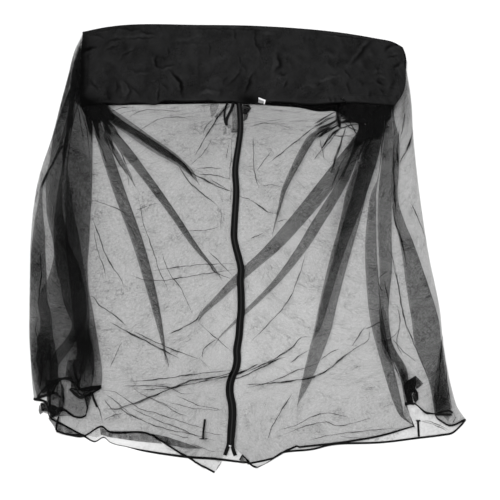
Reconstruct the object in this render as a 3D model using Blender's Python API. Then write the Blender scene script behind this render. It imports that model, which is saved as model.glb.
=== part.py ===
"""A box-shaped mosquito net canopy, laid out flat with its roof folded in half.

Frame: metres, +Z up, the surface it lies on at z = 0, +Y towards the roof's fold.
The net wall is one length of net that runs from the zip round the back and to the zip again. Its
folds are lines drawn on a plan, and the sheet between them goes back and forth, each layer resting
on what lies below it.
"""

from collections import namedtuple

import bmesh
import bpy
import numpy as np
from mathutils import Matrix

# Driving dimensions, in metres.
LAID_WIDTH = 1.962  # across the net where it spreads widest, near the hem
SHEET = 0.001  # thickness of every cloth sheet
LAYER_PITCH = 0.0016  # from one layer's middle to the next one's
PIECE_GAP = 0.0003  # between the two halves of the zip
HEM_GAP = 0.0006  # between the net and the tape along its hem
BINDING_WIDTH = 0.0088  # tape along the hem
TIE_WIDTH = 0.010  # webbing of the ties
ZIP_TOP_WIDTH = 0.0255  # both halves of the zip, where the roof squeezes it
ZIP_HEM_WIDTH = 0.0375  # both halves of the zip, at the hem
ZIP_UNDER = 0.004  # how far the net reaches under the zip's tapes
CHAIN_WIDTH = 0.0070  # the closed coil of the zip
CHAIN_HEIGHT = 0.0018
SLIDER = (0.0125, 0.0170, 0.0060)  # width, length, height
PULL = (0.0075, 0.0330, 0.0020)
STOP = (0.0105, 0.0070, 0.0030)
RING_RADIUS = 0.0068
RING_WIRE = 0.0013
NET_ROWS = 22
ROOF_ROWS = 30
TAB_ROWS = 5
SHOULDER = 0.028  # where a layer that crosses a pleat has come down beside it

# The plan: its unit is a share of the laid width, x runs right and y runs down from its corner.
PLAN_WIDTH = 436.0
UNIT = LAID_WIDTH / PLAN_WIDTH
PLAN_MIDDLE = (247.13, 248.38)
CELL = 0.004  # of the height map that the layers are laid on
MAP_HALF = 1.04  # half the side of that map

# The middle of the zip, and the two lines along which its halves part under the stop.
ZIP_MIDDLE = ((240, 102), (238.5, 140), (235.2, 170), (236.2, 190), (234.3, 225), (236.5, 250),
              (241, 270), (242, 290), (240, 320), (238.3, 355), (235.2, 370), (230.8, 392),
              (233, 410), (231.5, 430), (230.5, 445))
ZIP_LEFT_END = ((226.8, 450), (224.8, 455))
ZIP_RIGHT_END = ((233.4, 450), (235.4, 455.5))

# A line of the net from the roof to the hem. kind is edge, plain, fold or pleat. points are
# (x, y) on the plan, and on a pleat (x, y, width): its upper fold and how far it is tucked under.
Line = namedtuple("Line", "name kind points")
# A narrow strip laid on the pile: its middle line from the sewn end to the free end.
Tab = namedtuple("Tab", "name colour width points")


def beside_zip(side):
    """The net's edge along one side of the zip, a little under its tape."""
    top, bottom = ZIP_MIDDLE[0][1], ZIP_MIDDLE[-1][1]
    line = []
    for x, y in ZIP_MIDDLE:
        share = (y - top) / (bottom - top)
        width = ZIP_TOP_WIDTH + (ZIP_HEM_WIDTH - ZIP_TOP_WIDTH) * share
        line.append((x + side * (width / 2 - ZIP_UNDER) / UNIT, y))
    return tuple(line)


FRONT_LEFT = (
    Line("zip_left", "edge", beside_zip(-1) + ((222.5, 457), (215, 471))),
    Line("pleat_w1", "pleat", ((106, 102, 3), (106, 118, 5), (116, 128, 12), (150, 149, 14),
                               (180, 165, 9), (197, 182, 4), (212, 205, 2), (224, 250, 2),
                               (228, 300, 2), (222, 370, 2), (212, 420, 2), (203, 466, 2))),
    Line("pleat_w2", "pleat", ((102, 102, 2), (107, 130, 7), (113, 140, 8), (145, 182, 8),
                               (193, 250, 6), (211, 276, 2), (215, 310, 2), (209, 370, 2),
                               (199, 420, 2), (185, 455, 2))),
    Line("front_hem_1", "plain", ((100.5, 102), (107.5, 135), (116, 150), (134, 183), (168, 250),
                                  (184, 300), (187, 335), (184, 380), (165, 444))),
    Line("pleat_w3", "pleat", ((97, 102, 2), (95, 120, 4), (96, 135, 9), (112, 185, 10),
                               (135.5, 250, 9), (150, 300, 6), (159, 335, 2), (160, 380, 2),
                               (150, 433, 2))),
    Line("front_hem_2", "plain", ((94, 102), (91, 130), (94, 185), (106, 250), (114, 320),
                                  (118, 380), (117, 430))),
    Line("front_hem_3", "plain", ((92, 102), (86, 140), (82, 190), (86, 250), (90, 310),
                                  (96, 370), (99, 426))),
)
LEFT_GATHER = (
    Line("gather_7", "fold", ((83, 101), (73, 125), (67, 145), (60, 180), (57, 205), (54, 250),
                              (58, 300), (57, 350), (56, 400), (57, 428))),
    Line("gather_6", "fold", ((88, 101), (82, 125), (77, 145), (73, 180), (75, 205), (81, 250),
                              (86, 300), (90, 350), (88, 385), (87, 412))),
    Line("gather_5", "fold", ((83, 92), (69, 118), (60, 145), (51, 170), (46.5, 200), (51, 250),
                              (47, 290), (46, 340), (46, 385), (52, 412))),
    Line("gather_4", "fold", ((88, 84), (90, 112), (93, 135), (92, 200), (88.5, 250), (87.5, 282),
                              (91, 300), (97, 330), (101, 360), (101, 387))),
    Line("gather_3", "fold", ((83.5, 52), (73, 78), (64, 108), (53, 145), (41, 184), (33, 225),
                              (31.5, 260), (31.5, 310), (34, 355), (38.5, 398))),
    Line("gather_2", "fold", ((86, 48), (79, 78), (71, 108), (62, 145), (49, 184), (44, 215),
                              (44.5, 260), (43, 310), (42, 355), (47, 400))),
    Line("gather_1", "fold", ((83, 34), (75, 50), (68, 77), (60.5, 105), (54, 130), (45, 160),
                              (38, 188), (33, 215), (30, 250), (29, 320), (30, 360),
                              (33.5, 398))),
)
BACK = (
    Line("back_hem_1", "plain", ((88, 60), (80, 90), (68, 140), (56, 200), (50, 260), (48, 340),
                                 (50, 415))),
    Line("back_hem_2", "plain", ((91, 98), (88, 140), (84, 200), (82, 300), (82, 370),
                                 (84, 434))),
    Line("back_hem_3", "plain", ((98, 102), (99, 150), (98, 250), (97, 350), (98, 439))),
    Line("back_hem_4", "plain", ((110, 102), (113, 200), (114, 300), (113, 442))),
    Line("back_hem_5", "plain", ((140, 102), (150, 250), (146, 350), (142, 449))),
    Line("back_centre", "plain", ((180, 102), (184, 250), (182, 350), (182, 454))),
    Line("pleat_r2", "pleat", ((353, 108, 4), (358, 130, 9), (347, 168, 18), (325, 199, 22),
                               (275, 250, 15), (240, 282, 11), (214, 305, 5), (207, 320, 2),
                               (208, 370, 2), (210, 457, 2))),
    Line("pleat_r3", "pleat", ((358, 108, 2), (364, 130, 6), (350, 175, 10), (336, 207, 15),
                               (307, 250, 12), (279, 286, 8), (250, 310, 4), (238, 330, 2),
                               (238, 380, 2), (240, 460.5, 2))),
    Line("back_hem_6", "plain", ((369, 108), (372, 140), (356, 190), (328, 250), (298, 310),
                                 (280, 370), (272, 457.5))),
    Line("back_hem_7", "plain", ((374, 108), (379, 140), (370, 190), (350, 250), (330, 310),
                                 (316, 370), (304, 448.5))),
    Line("back_hem_8", "plain", ((378, 108), (386, 140), (392, 250), (386, 350), (378, 441))),
    Line("back_hem_9", "plain", ((384, 106), (393, 140), (408, 250), (414, 350), (420, 436))),
    Line("back_hem_10", "plain", ((392, 98), (402, 140), (420, 250), (432, 340), (451, 432))),
)
FRONT_RIGHT = (
    Line("side_right", "fold", ((405, 62), (410, 100), (413, 125), (420, 180), (427, 250),
                                (435, 280), (440, 310), (443, 340), (447, 370), (453, 400),
                                (464.5, 418))),
    Line("front_hem_4", "plain", ((403, 80), (405, 125), (411, 180), (421, 250), (434, 300),
                                  (442, 350), (447, 423))),
    Line("pleat_r7", "pleat", ((392, 98, 5), (390, 135, 8), (391, 165, 8), (394, 205, 9),
                               (400.5, 250, 15), (408, 290, 20), (416, 326, 25), (426, 360, 20),
                               (431, 382, 18), (434, 411, 18))),
    Line("front_hem_5", "plain", ((390, 101), (389, 150), (388, 205), (396, 250), (400, 300),
                                  (408, 340), (418, 380), (424, 409))),
    Line("pleat_r6", "pleat", ((386, 102, 4), (383, 135, 6), (381, 165, 8), (380, 205, 11),
                               (379.5, 250, 12), (382, 290, 7), (386, 320, 4), (391, 345, 6),
                               (399, 370, 9), (406, 400, 8))),
    Line("pleat_r5", "pleat", ((381, 102, 3), (376, 135, 6), (371, 165, 8), (367, 205, 9),
                               (365.5, 250, 10), (368, 290, 10), (372, 325, 11), (379, 350, 11),
                               (389, 380, 10), (403, 424, 9))),
    Line("front_hem_6", "plain", ((378, 102), (372, 140), (365, 190), (360, 250), (360, 310),
                                  (366, 370), (385, 435))),
    Line("front_hem_7", "plain", ((377, 102), (371, 140), (363.5, 190), (356, 250), (348, 310),
                                  (340, 370), (340, 443))),
    Line("pleat_r4", "pleat", ((370, 102, 4), (366, 130, 9), (358, 155, 13), (347, 200, 16),
                               (331, 250, 21), (320, 300, 20), (311.5, 345, 18), (301, 385, 8),
                               (297, 405, 2), (296, 446, 2))),
    Line("front_hem_8", "plain", ((352, 102), (335, 150), (312, 200), (298, 250), (288, 310),
                                  (280, 370), (272, 459))),
    Line("pleat_r1", "pleat", ((338, 102, 3), (328, 118, 6), (310, 137, 8), (297, 157, 8),
                               (286, 182, 7), (278, 208, 4), (274, 240, 2), (268, 300, 2),
                               (262, 370, 2), (258, 467, 2))),
    Line("zip_right", "edge", beside_zip(1) + ((239.5, 456), (246, 461))),
)
# The roof's lines run from its left end to its right end, back half first.
ROOF = (
    Line("back_seam", "edge", ((82, 106), (160, 104.5), (250, 104), (300, 109), (340, 112),
                               (380, 110), (392, 104))),
    Line("back_low", "plain", ((81.5, 88), (150, 86), (250, 86), (350, 92), (403.5, 92))),
    Line("back_mid", "plain", ((82, 66), (150, 62), (250, 63), (350, 70), (406, 72))),
    Line("back_high", "plain", ((83, 45), (150, 40), (250, 41), (350, 49), (404.5, 58))),
    Line("ridge", "fold", ((83.5, 32.5), (105, 28), (130, 24.7), (200, 24.7), (250, 26),
                           (307, 29.5), (345, 34), (375, 39), (393, 42.8), (402, 48))),
    Line("front_high", "plain", ((82, 45), (150, 40), (250, 41), (350, 49), (405.5, 58))),
    Line("front_mid", "plain", ((81, 66), (150, 62), (250, 63), (350, 70), (407, 72))),
    Line("front_low", "plain", ((80.5, 88), (150, 86), (250, 86), (350, 90), (404, 90))),
    Line("front_seam", "edge", ((81, 107), (105, 105), (160, 104.5), (200, 103.5), (250, 102.5),
                                (350, 104), (393, 106))),
)
# What is sewn on, in the order in which it is laid.
TABS = (
    Tab("tie_front", "webbing", TIE_WIDTH, ((203, 438), (203.6, 430), (204.5, 419))),
    Tab("tie_left", "webbing", TIE_WIDTH, ((93, 393), (95, 399.5), (97, 406))),
    Tab("tie_right", "webbing", TIE_WIDTH, ((418, 432.5), (418.2, 428), (418.5, 421))),
    Tab("hanging_tape_1", "webbing", 0.008, ((231, 102.5), (226.6, 113), (226.2, 120),
                                             (228, 132))),
    Tab("hanging_tape_2", "webbing", 0.008, ((234.5, 102.5), (231, 112), (227.4, 121))),
)
LABEL = Tab("label", "label", 0.033, ((262.5, 104.5), (262.2, 101), (262, 97.5)))
PULL_LINE = ((242.4, 107.4), (247.3, 111.6))  # the pull's middle line, from the slider out
SLIDER_AT = 106.0  # down the plan
RING_AT = (229.2, 126.8)


# ---------------------------------------------------------------- plan and curves
def metres(points):
    """Plan points as metres in the part's frame, x right and y towards the ridge."""
    p = np.asarray(points, float)
    return np.stack([(p[..., 0] - PLAN_MIDDLE[0]) * UNIT, (PLAN_MIDDLE[1] - p[..., 1]) * UNIT], -1)


def smooth(knots, values, at):
    """The cubic through the values at the knots, each slope the mean of its two chords'."""
    k, y = np.asarray(knots, float), np.asarray(values, float)
    at = np.clip(at, k[0], k[-1])
    chord = np.diff(y) / np.diff(k)
    slope = np.concatenate([chord[:1], (chord[:-1] + chord[1:]) / 2, chord[-1:]])
    i = np.clip(np.searchsorted(k, at, side="right") - 1, 0, len(k) - 2)
    h = k[i + 1] - k[i]
    t = (at - k[i]) / h
    return (
        (1 + 2 * t) * (1 - t) ** 2 * y[i]
        + t * (1 - t) ** 2 * h * slope[i]
        + t * t * (3 - 2 * t) * y[i + 1]
        + t * t * (t - 1) * h * slope[i + 1]
    )


def along(points, shares, axis):
    """Plan points at shares of a line's length along one axis, 0 for x and 1 for y."""
    p = np.asarray(points, float)
    knots = (p[:, axis] - p[0, axis]) / (p[-1, axis] - p[0, axis])
    other = smooth(knots, p[:, 1 - axis], shares)
    main = p[0, axis] + shares * (p[-1, axis] - p[0, axis])
    return np.stack([main, other] if axis == 0 else [other, main], -1)


def expanded(lines, heading, top):
    """Every line as (fold, points in metres by row), a pleat as its two folds and a shoulder.

    heading is +1 where the cloth is followed towards the right and -1 towards the left. top says
    which layer lies on a pleat, the one before or the one after it. The shoulder is a line on
    that layer, beside the fold that it covers, where it has come down from the pleat.
    """
    shares = np.linspace(0, 1, NET_ROWS)
    middles = [along([q[:2] for q in line.points], shares, 1) for line in lines]
    found = []
    for i, line in enumerate(lines):
        here = metres(middles[i])
        if line.kind != "pleat":
            found.append((line.kind == "fold", here))
            continue
        p = np.asarray(line.points, float)
        knots = (p[:, 1] - p[0, 1]) / (p[-1, 1] - p[0, 1])
        width = np.interp(shares, knots, p[:, 2])[:, None] * np.array([UNIT, 0.0])
        tucked = here - heading * width
        folds = [(True, here), (True, tucked)]
        neighbour = i - 1 if top == "before" else i + 1
        covered = tucked if top == "before" else here
        if not 0 <= neighbour < len(lines):
            found += folds
            continue
        away = metres(middles[neighbour]) - covered
        far = np.linalg.norm(away, axis=1, keepdims=True)
        shoulder = (False, covered + away * np.minimum(SHOULDER / far, 0.5))
        found += [shoulder] + folds if top == "before" else folds + [shoulder]
    return found


# ---------------------------------------------------------------- laying one layer on another
class Pile:
    """A map of how high the layers laid so far reach, on square cells."""

    def __init__(self):
        side = int(2 * MAP_HALF / CELL)
        self.top = np.full((side, side), SHEET / 2)

    def cells(self, points):
        """The map cells that hold the points."""
        found = ((points[..., :2] + MAP_HALF) / CELL).astype(int)
        return found[..., 0], found[..., 1]

    def samples(self, corners, count=(72, 26)):
        """Points spread over each quad of a grid, by mixing its four corners."""
        a = np.linspace(0, 1, count[0])[:, None, None]
        b = np.linspace(0, 1, count[1])[None, :, None]
        p = corners[..., None, None, :]
        return (
            p[:-1, :-1] * (1 - a) * (1 - b)
            + p[1:, :-1] * a * (1 - b)
            + p[:-1, 1:] * (1 - a) * b
            + p[1:, 1:] * a * b
        )

    def rest(self, plan):
        """Heights at which a grid of plan points clears everything below its quads."""
        wide = self.top.copy()
        for axis in (0, 1):
            wide = np.maximum(wide, np.maximum(np.roll(wide, 1, axis), np.roll(wide, -1, axis)))
        under = wide[self.cells(self.samples(plan))].max(axis=(-2, -1))
        padded = np.pad(under, 1, mode="edge")
        return np.maximum.reduce([padded[:-1, :-1], padded[1:, :-1], padded[:-1, 1:],
                                  padded[1:, 1:]])

    def lay(self, points, over=LAYER_PITCH):
        """Raises the map to the middle of a sheet that lies on a grid of points."""
        spread = self.samples(points)
        x, y = self.cells(spread)
        np.maximum.at(self.top, (x, y), spread[..., 2] + over)

    def height_at(self, point, reach):
        """The map's highest level within a square round a point."""
        x, y = ((np.asarray(point) + MAP_HALF) / CELL).astype(int)
        r = int(np.ceil(reach / CELL))
        return self.top[x - r:x + r + 1, y - r:y + r + 1].max()


def panels(lines):
    """The lines split at the folds: each panel is a range of lines, both ends included."""
    folds = [i for i, (fold, _) in enumerate(lines) if fold]
    ends = [0] + folds + [len(lines) - 1]
    return list(zip(ends[:-1], ends[1:]))


def lay_strip(pile, lines, order):
    """Lays a folded strip, one panel after another, and gives each panel's heights."""
    plan = np.array([p for _, p in lines])
    heights = {}
    for panel in order:
        first, last = panel
        part = plan[first:last + 1]
        z = pile.rest(part)
        heights[panel] = z
        pile.lay(np.concatenate([part, z[..., None]], -1))
    return plan, heights


def strip_columns(plan, lines, heights):
    """The strip's columns of 3-D points: a fold gives three, the rest one.

    At a fold the sheet comes in on one panel's height, turns at the fold line half way up, and
    leaves on the next panel's height.
    """
    spans = panels(lines)
    columns = []
    for i, (fold, here) in enumerate(lines):
        before = next((s for s in spans if s[1] == i), None)
        after = next((s for s in spans if s[0] == i), None)
        if not fold:
            own = next(s for s in spans if s[0] <= i <= s[1])
            columns.append(np.concatenate([here, heights[own][i - own[0]][:, None]], -1))
            continue
        low, high = heights[before][-1], heights[after][0]
        radius = np.abs(high - low) / 2
        for z, towards in ((low, i - 1), (None, None), (high, i + 1)):
            if z is None:
                columns.append(np.concatenate([here, ((low + high) / 2)[:, None]], -1))
                continue
            away = plan[towards] - here
            far = np.linalg.norm(away, axis=1)
            step = np.minimum(radius, far * 0.4) / np.maximum(far, 1e-9)
            columns.append(np.concatenate([here + away * step[:, None], z[:, None]], -1))
    return np.array(columns)


# ---------------------------------------------------------------- meshes
def normals(grid):
    """Unit normals of a grid of points, from the chords across each point both ways."""
    du = np.gradient(grid, axis=0)
    dv = np.gradient(grid, axis=1)
    n = np.cross(du, dv)
    return n / np.maximum(np.linalg.norm(n, axis=-1, keepdims=True), 1e-12)


def thick_sheet(name, grid, colour, thickness=SHEET):
    """A grid of points as a closed sheet, half its thickness to each side of the grid."""
    n = normals(grid) * thickness / 2
    rows, cols = grid.shape[:2]
    count = rows * cols
    points = np.concatenate([(grid + n).reshape(-1, 3), (grid - n).reshape(-1, 3)])
    index = np.arange(count).reshape(rows, cols)
    a, b, c, d = index[:-1, :-1], index[1:, :-1], index[1:, 1:], index[:-1, 1:]
    upper = split(np.stack([a, b, c, d], -1).reshape(-1, 4))
    lower = upper[:, ::-1] + count
    rim = np.concatenate([index[:, 0], index[-1, 1:], index[-2::-1, -1], index[0, -2:0:-1]])
    after = np.roll(rim, -1)
    sides = split(np.stack([after, rim, rim + count, after + count], -1))
    return add_mesh(name, points, np.concatenate([upper, lower, sides]), colour)


def split(quads):
    """Each quad as two triangles, so that both faces of a sheet are split the same way."""
    return np.concatenate([quads[:, [0, 1, 2]], quads[:, [0, 2, 3]]])


def signed_volume(points, faces):
    """The volume that triangles close in, negative where they face inwards."""
    p = points[faces]
    return np.einsum("ij,ij->i", p[:, 0], np.cross(p[:, 1], p[:, 2])).sum() / 6


COLOURS = {  # base colour, roughness, metallic
    "roof_cloth": ((0.018, 0.018, 0.019, 1), 0.55, 0.0),
    "net": ((0.03, 0.03, 0.03, 1), 0.8, 0.0),
    "webbing": ((0.010, 0.010, 0.011, 1), 0.7, 0.0),
    "zip_tape": ((0.014, 0.014, 0.015, 1), 0.75, 0.0),
    "zip_coil": ((0.025, 0.025, 0.026, 1), 0.4, 0.0),
    "metal": ((0.10, 0.10, 0.105, 1), 0.35, 1.0),
    "label": ((0.80, 0.80, 0.79, 1), 0.7, 0.0),
}


def material(kind):
    found = bpy.data.materials.get(kind)
    if found:
        return found
    made = bpy.data.materials.new(kind)
    made.use_nodes = True
    shader = made.node_tree.nodes["Principled BSDF"]
    colour, roughness, metallic = COLOURS[kind]
    shader.inputs["Base Color"].default_value = colour
    shader.inputs["Roughness"].default_value = roughness
    shader.inputs["Metallic"].default_value = metallic
    return made


def add_mesh(name, points, faces, colour):
    if signed_volume(points, faces) < 0:
        faces = faces[:, ::-1]
    mesh = bpy.data.meshes.new(name)
    mesh.from_pydata(points.tolist(), [], faces.tolist())
    mesh.materials.append(material(colour))
    made = bpy.data.objects.new(name, mesh)
    bpy.context.collection.objects.link(made)
    return made


# ---------------------------------------------------------------- the pieces
def net_lines():
    """All the net's lines in order along the cloth, and where the back's begin and end."""
    left = expanded(FRONT_LEFT, -1, "before") + expanded(LEFT_GATHER, -1, "before")
    back = expanded(BACK, 1, "after")
    right = expanded(FRONT_RIGHT, -1, "after")
    return left + back + right, len(left), len(left) + len(back)


def beyond(lines, distance):
    """The lines with one more row, a distance past the hem."""
    longer = []
    for fold, p in lines:
        step = p[-1] - p[-3]
        step = step / np.linalg.norm(step)
        longer.append((fold, np.concatenate([p, (p[-1] + step * distance)[None]])))
    return longer


def net_and_binding(pile):
    """The net wall, and the tape along its hem, which follows every fold of it."""
    lines, back_start, back_end = net_lines()
    lines = beyond(lines, BINDING_WIDTH)
    spans = panels(lines)
    back = [s for s in spans if s[1] >= back_start and s[0] < back_end]
    left = [s for s in spans if s[1] < back_start][::-1]
    right = [s for s in spans if s[0] >= back_end]
    order = back + left + right
    plan, heights = lay_strip(pile, lines, order)
    grid = strip_columns(plan, lines, heights)
    thick_sheet("net_wall", grid[:, :-1], "net")
    hem, end = grid[:, -2], grid[:, -1]
    gap = HEM_GAP / BINDING_WIDTH
    tape = np.stack([hem + (end - hem) * gap, end], 1)
    thick_sheet("hem_binding", tape, "webbing")


def ribbon(pile, name, colour, middle, widths, thickness=SHEET):
    """A strip of cloth or coil on the pile, along a middle line with a width for each point."""
    middle = np.asarray(middle, float)
    along_it = np.gradient(middle, axis=0)
    across = np.stack([-along_it[:, 1], along_it[:, 0]], -1)
    across *= (np.asarray(widths) / 2 / np.linalg.norm(across, axis=1))[:, None]
    plan = np.stack([middle - across, middle + across])
    z = pile.rest(plan) + (thickness - SHEET) / 2
    grid = np.concatenate([plan, z[..., None]], -1)
    pile.lay(grid, LAYER_PITCH + (thickness - SHEET) / 2)
    return thick_sheet(name, grid, colour, thickness)


def tab(pile, strip):
    """One tie, tape or label."""
    p = metres(strip.points)
    step = np.linalg.norm(np.diff(p, axis=0), axis=1)
    knots = np.concatenate([[0], np.cumsum(step)])
    at = np.linspace(0, knots[-1], TAB_ROWS)
    middle = np.stack([smooth(knots, p[:, 0], at), smooth(knots, p[:, 1], at)], -1)
    ribbon(pile, strip.name, strip.colour, middle, np.full(TAB_ROWS, strip.width))


def block(name, colour, size, centre, turn=0.0):
    """A small hard piece with bevelled edges, turned about Z."""
    made = bmesh.new()
    bmesh.ops.create_cube(made, size=1)
    bmesh.ops.scale(made, vec=size, verts=made.verts)
    bmesh.ops.bevel(made, geom=made.edges[:], offset=min(size) * 0.25, segments=1,
                    affect="EDGES")
    bmesh.ops.triangulate(made, faces=made.faces[:])
    bmesh.ops.rotate(made, matrix=Matrix.Rotation(turn, 3, "Z"), verts=made.verts)
    bmesh.ops.translate(made, vec=centre, verts=made.verts)
    mesh = bpy.data.meshes.new(name)
    made.to_mesh(mesh)
    made.free()
    mesh.materials.append(material(colour))
    bpy.context.collection.objects.link(bpy.data.objects.new(name, mesh))


def ring(name, colour, centre, radius, wire):
    """A closed ring of round wire that lies flat."""
    turns, sides = 20, 8
    u = np.linspace(0, 2 * np.pi, turns, endpoint=False)[:, None]
    v = np.linspace(0, 2 * np.pi, sides, endpoint=False)[None, :]
    reach = radius + wire / 2 * np.cos(v)
    points = np.stack([reach * np.cos(u), reach * np.sin(u), wire / 2 * np.sin(v) + 0 * u], -1)
    index = np.arange(turns * sides).reshape(turns, sides)
    right, up = np.roll(index, -1, 0), np.roll(index, -1, 1)
    both = np.roll(right, -1, 1)
    faces = split(np.stack([index, right, both, up], -1).reshape(-1, 4))
    add_mesh(name, points.reshape(-1, 3) + centre, faces, colour)


def zip_and_slider(pile):
    """The zip's two tapes, its closed coil, the stop, and the slider with its pull at the top."""
    middle = np.asarray(ZIP_MIDDLE, float)
    share = (middle[:, 1] - middle[0, 1]) / (middle[-1, 1] - middle[0, 1])
    width = ZIP_TOP_WIDTH + (ZIP_HEM_WIDTH - ZIP_TOP_WIDTH) * share
    for side, end, name in ((-1, ZIP_LEFT_END, "left"), (1, ZIP_RIGHT_END, "right")):
        half = width / 2 - PIECE_GAP
        line = metres(middle)
        line[:, 0] += side * (half / 2 + PIECE_GAP)
        line = np.concatenate([line, metres(end)])
        widths = np.concatenate([half, np.full(len(end), half[-1] * 0.9)])
        ribbon(pile, "zip_tape_" + name, "zip_tape", line, widths)
    ribbon(pile, "zip_chain", "zip_coil", metres(middle), np.full(len(middle), CHAIN_WIDTH),
           CHAIN_HEIGHT)
    top = metres((np.interp(SLIDER_AT, middle[:, 1], middle[:, 0]), SLIDER_AT))
    foot = metres(ZIP_MIDDLE[-1])
    for name, size, at in (("zip_slider", SLIDER, top), ("zip_stop", STOP, foot)):
        z = pile.height_at(at, size[1] / 2) - SHEET / 2 + size[2] / 2
        block(name, "metal", size, (*at, z))
    start, end = metres(PULL_LINE)
    heading = (end - start) / np.linalg.norm(end - start)
    end = start + heading * PULL[1]
    across = np.array([-heading[1], heading[0]]) * PULL[0] / 2
    under = pile.rest(np.array([[start - across, end - across], [start + across, end + across]]))
    turn = np.arctan2(heading[1], heading[0]) - np.pi / 2
    z = under.max() - SHEET / 2 + PULL[2] / 2
    block("zip_pull", "metal", PULL, (*(start + end) / 2, z), turn)


def roof_lines():
    shares = np.linspace(0, 1, ROOF_ROWS)
    return [(line.kind == "fold", metres(along(line.points, shares, 0))) for line in ROOF]


def main():
    for each in list(bpy.data.objects):
        bpy.data.objects.remove(each)
    pile = Pile()
    roof = roof_lines()
    fold = next(i for i, (is_fold, _) in enumerate(roof) if is_fold)
    plan, heights = lay_strip(pile, roof, [(0, fold)])
    net_and_binding(pile)
    zip_and_slider(pile)
    for strip in TABS:
        tab(pile, strip)
    at = metres(RING_AT)
    z = pile.height_at(at, RING_RADIUS) - SHEET / 2 + RING_WIRE / 2
    ring("ring", "metal", (*at, z), RING_RADIUS, RING_WIRE)
    heights.update(lay_strip(pile, roof, [(fold, len(roof) - 1)])[1])
    thick_sheet("roof", strip_columns(plan, roof, heights), "roof_cloth")
    tab(pile, LABEL)


main()
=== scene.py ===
"""A box-shaped mosquito net canopy laid out flat: opaque roof folded in half, zipped net wall.

Everything is in metres in the part's frame: +Y towards the roof's fold, the floor at z = 0.
Tables are drawn on a plan whose unit is 4.5 mm, x to the right and y down. The net is one strip
of cloth that runs from the zip round the back and to the zip again, so every table of its lines
goes along the cloth.
"""

from collections import namedtuple

import bmesh
import bpy
import numpy as np
from mathutils import Matrix


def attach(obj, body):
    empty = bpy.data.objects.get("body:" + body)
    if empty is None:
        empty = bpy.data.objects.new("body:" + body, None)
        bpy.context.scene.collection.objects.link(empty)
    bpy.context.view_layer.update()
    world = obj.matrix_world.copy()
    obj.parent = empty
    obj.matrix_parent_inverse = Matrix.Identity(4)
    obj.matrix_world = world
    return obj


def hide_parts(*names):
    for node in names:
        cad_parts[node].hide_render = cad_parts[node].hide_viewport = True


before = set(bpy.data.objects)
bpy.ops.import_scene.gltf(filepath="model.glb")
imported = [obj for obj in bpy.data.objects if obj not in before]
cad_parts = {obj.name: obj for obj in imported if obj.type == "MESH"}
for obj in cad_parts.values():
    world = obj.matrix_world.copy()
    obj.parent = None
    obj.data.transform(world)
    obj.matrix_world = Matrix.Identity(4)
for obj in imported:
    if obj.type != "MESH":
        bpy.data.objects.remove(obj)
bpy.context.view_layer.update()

# ---------------------------------------------------------------- sizes, in metres
UNIT = 0.0045  # one unit of the plan
PLAN_MIDDLE = (247.13, 248.38)  # where the part's origin is on the plan
SHEET = 0.001  # thickness that the laying allows each layer
PITCH = 0.0011  # from one layer's middle to the next one's
CELL = 0.004  # of the height map
MAP_HALF = 1.04  # from the map's middle to each side
NET_ROWS = 102  # from the roof's edge to the hem
COLUMN_STEP = 0.012  # between two columns of the net, and of the roof's back half
SHOULDER = 0.028  # beside a pleat, where the layer over it has come down
BINDING_WIDTH = 0.0088
ZIP_TOP_WIDTH = 0.0255  # of both tapes
ZIP_HEM_WIDTH = 0.0375
ZIP_UNDER = 0.004  # how far each tape lies over the net's edge

Line = namedtuple("Line", "name kind points")
Crush = namedtuple("Crush", "x y reach_x reach_y turn more")
Course = namedtuple("Course", "fold points tight tape", defaults=(0.0, 1.0))

# ---------------------------------------------------------------- the zip's middle
ZIP_MIDDLE = ((239, 102), (240.4, 120), (240.2, 132), (238.6, 144), (235.2, 170), (236.2, 190),
              (234.3, 225), (234, 237), (236, 248), (238.2, 256), (241, 269), (240.4, 280),
              (241, 292), (241, 312), (240, 322), (239, 336), (236.9, 350), (237.2, 360),
              (235.8, 368), (232.2, 376.4), (230, 384), (229.8, 393), (232, 405), (232.4, 416),
              (231.4, 430), (230.4, 445))
ZIP_LEFT_END = ((226.8, 450), (224.8, 455))
ZIP_RIGHT_END = ((233.4, 450), (235.4, 455.5))


def zip_width(y):
    """The width of both tapes together at a height of the plan, which grows evenly downwards."""
    top, bottom = ZIP_MIDDLE[0][1], ZIP_MIDDLE[-1][1]
    share = (y - top) / (bottom - top)
    return ZIP_TOP_WIDTH + (ZIP_HEM_WIDTH - ZIP_TOP_WIDTH) * share


def beside_zip(side):
    """The net's edge along one side of the zip, a little inside the tape's outer edge."""
    return tuple((x + side * (zip_width(y) / 2 - ZIP_UNDER) / UNIT, y) for x, y in ZIP_MIDDLE)


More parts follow.
